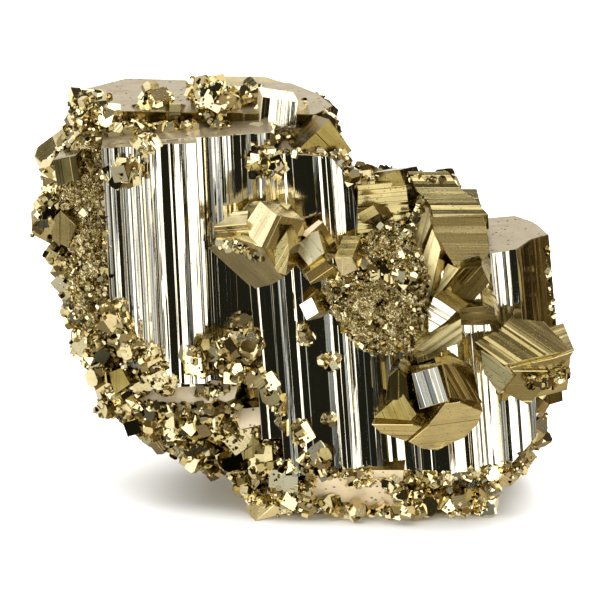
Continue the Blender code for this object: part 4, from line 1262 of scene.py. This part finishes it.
# Light by height above level, and how far the light around takes its place.
HEIGHT_LIGHT = [(-90, (0.48, 0.44, 0.35)), (-68, (0.46, 0.41, 0.32)), (-62, (0.20, 0.17, 0.11)),
                (-50, (0.12, 0.10, 0.07)), (-40, (0.14, 0.12, 0.08)), (0, (0.15, 0.15, 0.15)),
                (32, (0.47, 0.46, 0.43)), (39, (0.02, 0.02, 0.01)), (54, (0.02, 0.015, 0.01)),
                (60, (1.0, 1.0, 0.97)), (74, (1.0, 1.0, 0.97)), (79, (0.08, 0.06, 0.04)),
                (90, (0.10, 0.08, 0.05))]
WALL_SHARE = [(-42, 0.0), (-34, 1.0), (24, 1.0), (34, 0.0)]


def by_angle(stops, full):
    """Ramp places for stops whose angles run from -full / 2 to full / 2."""
    return [(0.5 + angle / full, colour) for angle, colour in stops]


# ---------------------------------------------------------------- operators

class PYRITE_OT_stage(bpy.types.Operator):
    """Make the camera, the pale floor, the lamp and the studio surroundings"""

    bl_idname = "pyrite.stage"
    bl_label = "Stage"

    def execute(self, context):
        own = settings("stage")
        self.make_camera(context, own)
        self.make_floor(own)
        self.make_lamp(own)
        self.make_surroundings(context)
        context.scene.view_settings.view_transform = "Standard"
        return {"FINISHED"}

    def make_camera(self, context, own):
        """A camera in front of the striped side, raised by the elevation and level sideways."""
        data = bpy.data.cameras.new("camera")
        data.lens = own.lens
        data.sensor_width = 36.0
        data.clip_start = 0.01
        camera = new_object("camera", data)
        back = np.array([0.0, -math.cos(own.elevation), math.sin(own.elevation)])
        camera.location = np.array(own.target) + back * own.distance
        camera.rotation_euler = (math.pi / 2 - own.elevation, 0, 0)
        context.scene.camera = camera

    def make_floor(self, own):
        """A matt white square that the metal doesn't mirror."""
        half = own.floor / 2
        mesh = bpy.data.meshes.new("floor")
        mesh.from_pydata([(-half, -half, 0), (half, -half, 0), (half, half, 0), (-half, half, 0)], [],
                         [(0, 1, 2, 3)])
        floor = new_object("floor", mesh)
        material = bpy.data.materials.new("white_floor")
        material.use_nodes = True
        w = Wiring(material.node_tree)
        shader = material.node_tree.nodes["Principled BSDF"]
        w.put(FLOOR_WHITE, shader.inputs["Base Color"])
        w.put(0.9, shader.inputs["Roughness"])
        w.put(0.0, shader.inputs["Specular IOR Level"])
        self.fade_floor(w, shader)
        mesh.materials.append(material)
        floor.visible_glossy = False

    def fade_floor(self, w, shader):
        """The far floor, past a hand's breadth from the specimen, is as white as what is behind it."""
        away = w.vector("LENGTH", w.add("ShaderNodeTexCoord").outputs["Object"])
        start, end = FLOOR_FADE
        far = w.add("ShaderNodeMapRange", {"Value": away, "From Min": start, "From Max": end},
                    interpolation_type="SMOOTHSTEP")
        seen = w.add("ShaderNodeLightPath").outputs["Is Camera Ray"]
        white = w.add("ShaderNodeEmission", {"Color": WHITE})
        both = w.add("ShaderNodeMixShader", {0: w.math("MULTIPLY", far.outputs[0], seen),
                                             1: shader.outputs[0], 2: white.outputs[0]})
        w.put(both.outputs[0], w.tree.nodes["Material Output"].inputs["Surface"])

    def make_lamp(self, own):
        """A wide soft lamp above, which lights the floor and shows in no face."""
        data = bpy.data.lights.new("overhead", "AREA")
        data.shape = "RECTANGLE"
        data.size, data.size_y = LAMP_SIZE
        data.energy = own.lamp
        lamp = new_object("overhead", data)
        lamp.location = LAMP_PLACE
        lamp.visible_glossy = False

    def make_surroundings(self, context):
        """White to the camera; to the metal, a studio of soft boxes, dark gaps and a pale table."""
        world = bpy.data.worlds.new("studio")
        context.scene.world = world
        world.use_nodes = True
        world.node_tree.nodes.clear()
        w = Wiring(world.node_tree)
        x, y, z = w.split(w.add("ShaderNodeTexCoord").outputs["Generated"])
        turn = w.math("ARCTAN2", x, w.math("MULTIPLY", y, -1.0))
        azimuth = w.math("ADD", w.math("DIVIDE", turn, 2 * math.pi), 0.5)
        height = w.math("ADD", w.math("DIVIDE", w.math("ARCSINE", z), math.pi), 0.5)
        walls = w.ramp(azimuth, by_angle(WALL_LIGHT, 360))
        rising = w.ramp(height, by_angle(HEIGHT_LIGHT, 180))
        share = w.ramp(height, by_angle(WALL_SHARE, 180))
        glow = w.add("ShaderNodeBackground", {0: w.mix(share, rising, walls), 1: STUDIO_GLOW})
        plain = w.add("ShaderNodeBackground", {0: WHITE})
        seen = w.add("ShaderNodeLightPath").outputs["Is Camera Ray"]
        both = w.add("ShaderNodeMixShader", {0: seen, 1: glow.outputs[0], 2: plain.outputs[0]})
        w.add("ShaderNodeOutputWorld", {0: both.outputs[0]})


TALL_ROWS, FACET_ROWS = 24, 5
TALL_LAYERS = 1.5            # mean growth layer on the sides of the tall crystals
LEVEL_RIBS = (0.4, 2.2)      # narrowest and widest rib of a nearly level facet
LINED_RIBS = (0.15, 0.9)     # the same for a strongly lined one
LEVEL_LEAN = (0, 0.6)        # mean lean of a nearly level facet's ribs and its spread
FACET_STEP = 0.05            # most that one rib of a facet stands above another


class PYRITE_OT_tall_crystals(bpy.types.Operator):
    """Make the tall crystals with their ribbed, mirror-bright faces"""

    bl_idname = "pyrite.tall_crystals"
    bl_label = "Tall crystals"

    def execute(self, context):
        own = settings("crystals")
        surfaces = Surfaces()
        for name, (at, turn, outline, depth) in TALL_CRYSTALS.items():
            rng = seeded(name)
            start = min(x for x, _ in outline)
            xs, heights = saw_profile(GROWTH_BANDS[name], start, rng, own.band_step / MM)
            xs, heights = with_ledges(xs, heights, GROWTH_LEDGES.get(name, []))
            lined_slab(surfaces, at, turn, outline, depth, xs, heights, rng, TALL_ROWS,
                       own.chamfer / MM, finish=(0, 1), spacing=TALL_LAYERS,
                       flat_part=FLAT_PARTS.get(name))
        # Columns: pitted lids, and lined sides in a dark brown that is painted shade.
        for name, (at, turn, outline, depth) in COLUMN_CRYSTALS.items():
            lined_column(surfaces, at, turn, outline, depth, own.rib / MM, seeded(name),
                         finish=(1, 2))
        piece("tall_crystals", surfaces, ["mirror_growth_face", "pitted_lid", "dark_column_face"])
        return {"FINISHED"}


class PYRITE_OT_facet_crystals(bpy.types.Operator):
    """Make the jutting cubes, prisms and bevels"""

    bl_idname = "pyrite.facet_crystals"
    bl_label = "Jutting crystals"

    def execute(self, context):
        own = settings("crystals")
        kinds = ["golden_facet", *FACET_KINDS]
        surfaces = Surfaces()
        for name, (at, turn, outline, depth) in FACET_CRYSTALS.items():
            rng = seeded(name)
            xs, heights = self.profile(name, outline, rng)
            front = next((kind for kind, names in FACET_KINDS.items() if name in names), kinds[0])
            side = FACET_SIDES.get(name, kinds[0])
            lined_slab(surfaces, at, turn, outline, depth, xs, heights, rng, FACET_ROWS,
                       own.chamfer / MM, finish=(kinds.index(front), kinds.index(side)), sway=0.02,
                       tone=FACET_TARNISH_AND_PAINTED_LIGHT.get(name, rng.uniform(0.1, 0.6)), planes=face_planes(name))
        piece("jutting_crystals", surfaces, kinds)
        return {"FINISHED"}

    def profile(self, name, outline, rng):
        """Ribs across a facet: a few wide, nearly level ones, or many narrow ones that lean."""
        low, high = min(x for x, _ in outline), max(x for x, _ in outline)
        widths = rng.uniform(*LEVEL_RIBS, 20)
        widths = widths[np.cumsum(widths) < high - low + LEVEL_RIBS[1]]
        lean, spread = LINED_FACES.get(name, LEVEL_LEAN)
        if name in LINED_FACES:
            widths = rng.uniform(*LINED_RIBS, int(2 * (high - low)) + 2)
        bands = [(width, rng.normal(lean, spread), 1) for width in widths]
        return saw_profile(bands, low, rng, FACET_STEP)


class PYRITE_OT_back_crystals(bpy.types.Operator):
    """Make the block crystals of the far side and the ends"""

    bl_idname = "pyrite.back_crystals"
    bl_label = "Back crystals"

    def execute(self, context):
        surfaces = Surfaces()
        for name, (at, size, turn, corner) in BACK_CRYSTALS.items():
            rng = seeded(name)
            tone = rng.uniform(0.2, 0.7)
            block_crystal(surfaces, at, size, turn, corner, rng, tone)
        piece("back_crystals", surfaces, ["golden_facet"])
        return {"FINISHED"}


class PYRITE_OT_matrix(bpy.types.Operator):
    """Make the inner mass that carries the crystals, near black with painted shade where it shows
    between them, and the rough lumps on it
    """

    bl_idname = "pyrite.matrix"
    bl_label = "Matrix"

    def execute(self, context):
        surfaces = Surfaces()
        for name in INNER_BLOCKS:
            if name != ROCK:
                self.inner_block(surfaces, name, MASS_SPACING, END_RINGS, inner_relief)
        piece("inner_mass", surfaces, ["dark_gaps"], smooth=True)
        surfaces = Surfaces()
        self.inner_block(surfaces, ROCK, ROCK_SPACING, ROCK_RINGS, rock_relief)
        for name, (at, half_sizes) in ROUGH_LUMPS.items():
            self.lump(surfaces, name, at, half_sizes)
        piece("matrix_lumps", surfaces, ["rough_matrix"])
        return {"FINISHED"}

    def inner_block(self, surfaces, name, spacing, front_rings, relief):
        """The ring of the outline carried from front to back and closed by shrinking rings, each
        point moved away from the middle by the relief."""
        outline, front, back = INNER_BLOCKS[name]
        flat, _ = outline_ring(outline, spacing)
        middle = flat.mean(axis=0)
        path = [(front, scale) for scale in front_rings]
        path += [(y, 1.0) for y in np.arange(front, back + 0.1, spacing)]
        path += [(back, scale) for scale in END_RINGS[::-1]]
        rings = []
        for y, scale in path:
            ring = middle + (flat - middle) * scale
            rings.append(np.column_stack([ring[:, 0], np.full(len(ring), y), ring[:, 1]]))
        points, corners, counts = tube(rings)
        away = points - points.mean(axis=0)
        away /= np.linalg.norm(away, axis=1)[:, None]
        points = points + away * relief(points, name)[:, None]
        points[:, 2] = np.maximum(points[:, 2], 0.0)
        surfaces.add(points, corners, counts, points[:, [0, 2]][corners], 0)

    def lump(self, surfaces, name, at, half_sizes):
        """A ball of rings from pole to pole, its radius moved by the rock's relief."""
        around = np.linspace(0, 2 * np.pi, LUMP_POINTS, endpoint=False)
        rise = np.linspace(0.02, np.pi - 0.02, LUMP_RINGS)
        phi, theta = np.meshgrid(around, rise)
        unit = np.stack([np.sin(theta) * np.cos(phi), np.sin(theta) * np.sin(phi), np.cos(theta)],
                        axis=-1).reshape(-1, 3)
        points = unit * np.array(half_sizes, float)
        points = points + unit * rock_relief(points, name)[:, None] + np.array(at, float)
        points, corners, counts = tube(points.reshape(LUMP_RINGS, LUMP_POINTS, 3))
        surfaces.add(points, corners, counts, points[:, [0, 2]][corners], 0)


class PYRITE_OT_druse(bpy.types.Operator):
    """Make the bands of crystals along the edges and the crust of fine ones between them"""

    bl_idname = "pyrite.druse"
    bl_label = "Druse"

    def execute(self, context):
        own = settings("druse")
        forms = [cube_form(0.04), cube_form(0.2), pyritohedron_form()]
        cubes, fine = forms[:2], forms[:1] + forms[2:]
        self.banded("druse_large", DRUSE_BANDS, cubes, least=0.0, spread=0.7)
        self.banded("druse_bands", FINE_BANDS, forms, least=0.1, spread=0.75)
        self.scattered("druse_medium", forms, own.medium_density, 1.0, own.medium_size / MM, 0.85)
        self.scattered("druse_fine", fine, own.fine_density, 0.35, own.fine_size / MM, 0.9)
        self.scattered("matrix_grains", fine, own.grain_density, 0.25, own.grain_size / MM, 0.8, True)
        return {"FINISHED"}

    def banded(self, name, bands, forms, least, spread):
        """Crystals along each band's path, each of one of the forms by chance. Their tones run from
        the least over the spread."""
        surfaces = Surfaces()
        for band, (path, half_width, count, sizes) in bands.items():
            centres, edges, turns = band_crystals(band, path, half_width, count, sizes)
            rng = seeded(band)
            kind = rng.integers(0, len(forms), count)
            for number, form in enumerate(forms):
                own = kind == number
                tones = tone_by_place(centres[own], least + spread * rng.random(own.sum()))
                strew(surfaces, form, centres[own], edges[own], turns[own], tones)
        piece(name, surfaces, ["druse_crystal"])

    def scattered(self, name, forms, per_area, small, large, darkest, on_lumps=False):
        """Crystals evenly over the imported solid, but for its smooth faces, the clear boxes and its
        foot: on the lumps or everywhere else. Their edges run from small to large, most of them
        small, and each is sunk a little into the surface."""
        rng = seeded(name)
        points, normals = points_on_solid(per_area, rng)
        keep = ~on_smooth_crystal(points) & (points[:, 2] > 0.4) & (on_lump(points) == on_lumps)
        for low, high in CLEAR_BOXES:
            keep &= ~((points > low) & (points < high)).all(axis=1)
        points, normals = points[keep], normals[keep]
        total = len(points)
        edge = small + (large - small) * rng.random(total) ** 2
        sizes = edge[:, None] * rng.uniform(0.75, 1.25, (total, 3))
        centres = points - normals * (edge * SUNK_SHARE)[:, None]
        centres[:, 2] = np.maximum(centres[:, 2], edge * 0.9)
        turns = random_turns(total, rng)
        tones = tone_by_place(points, darkest * rng.random(total))
        kind = rng.integers(0, len(forms), total)
        surfaces = Surfaces()
        for number, form in enumerate(forms):
            own = kind == number
            strew(surfaces, form, centres[own], sizes[own], turns[own], tones[own])
        piece(name, surfaces, ["druse_crystal"])


class PYRITE_PT_specimen(bpy.types.Panel):
    """Lists the specimen's settings and the steps that build it"""

    bl_label = "Pyrite specimen"
    bl_space_type = "VIEW_3D"
    bl_region_type = "UI"
    bl_category = "Pyrite"

    def draw(self, context):
        for name in SETTINGS:
            box = self.layout.box()
            own = settings(name)
            for key in own.bl_rna.properties.keys():
                if key not in ("rna_type", "name"):
                    box.prop(own, key)
        for operator in OPERATORS:
            self.layout.operator(operator.bl_idname)


SETTINGS = {"finish": PyriteFinishSettings, "crystals": PyriteCrystalSettings,
            "druse": PyriteDruseSettings, "stage": PyriteStageSettings}
OPERATORS = [PYRITE_OT_stage, PYRITE_OT_tall_crystals, PYRITE_OT_facet_crystals,
             PYRITE_OT_back_crystals, PYRITE_OT_matrix, PYRITE_OT_druse]


def register():
    for name, group in SETTINGS.items():
        bpy.utils.register_class(group)
        setattr(bpy.types.Scene, f"pyrite_{name}", PointerProperty(type=group))
    for entry in OPERATORS + [PYRITE_PT_specimen]:
        bpy.utils.register_class(entry)


def unregister():
    for entry in reversed(OPERATORS + [PYRITE_PT_specimen]):
        bpy.utils.unregister_class(entry)
    for name, group in SETTINGS.items():
        delattr(bpy.types.Scene, f"pyrite_{name}")
        bpy.utils.unregister_class(group)


def main():
    register()
    make_finishes(settings("finish"))
    for operator in OPERATORS:
        group, name = operator.bl_idname.split(".")
        getattr(getattr(bpy.ops, group), name)()


if __name__ == "__main__":
    main()
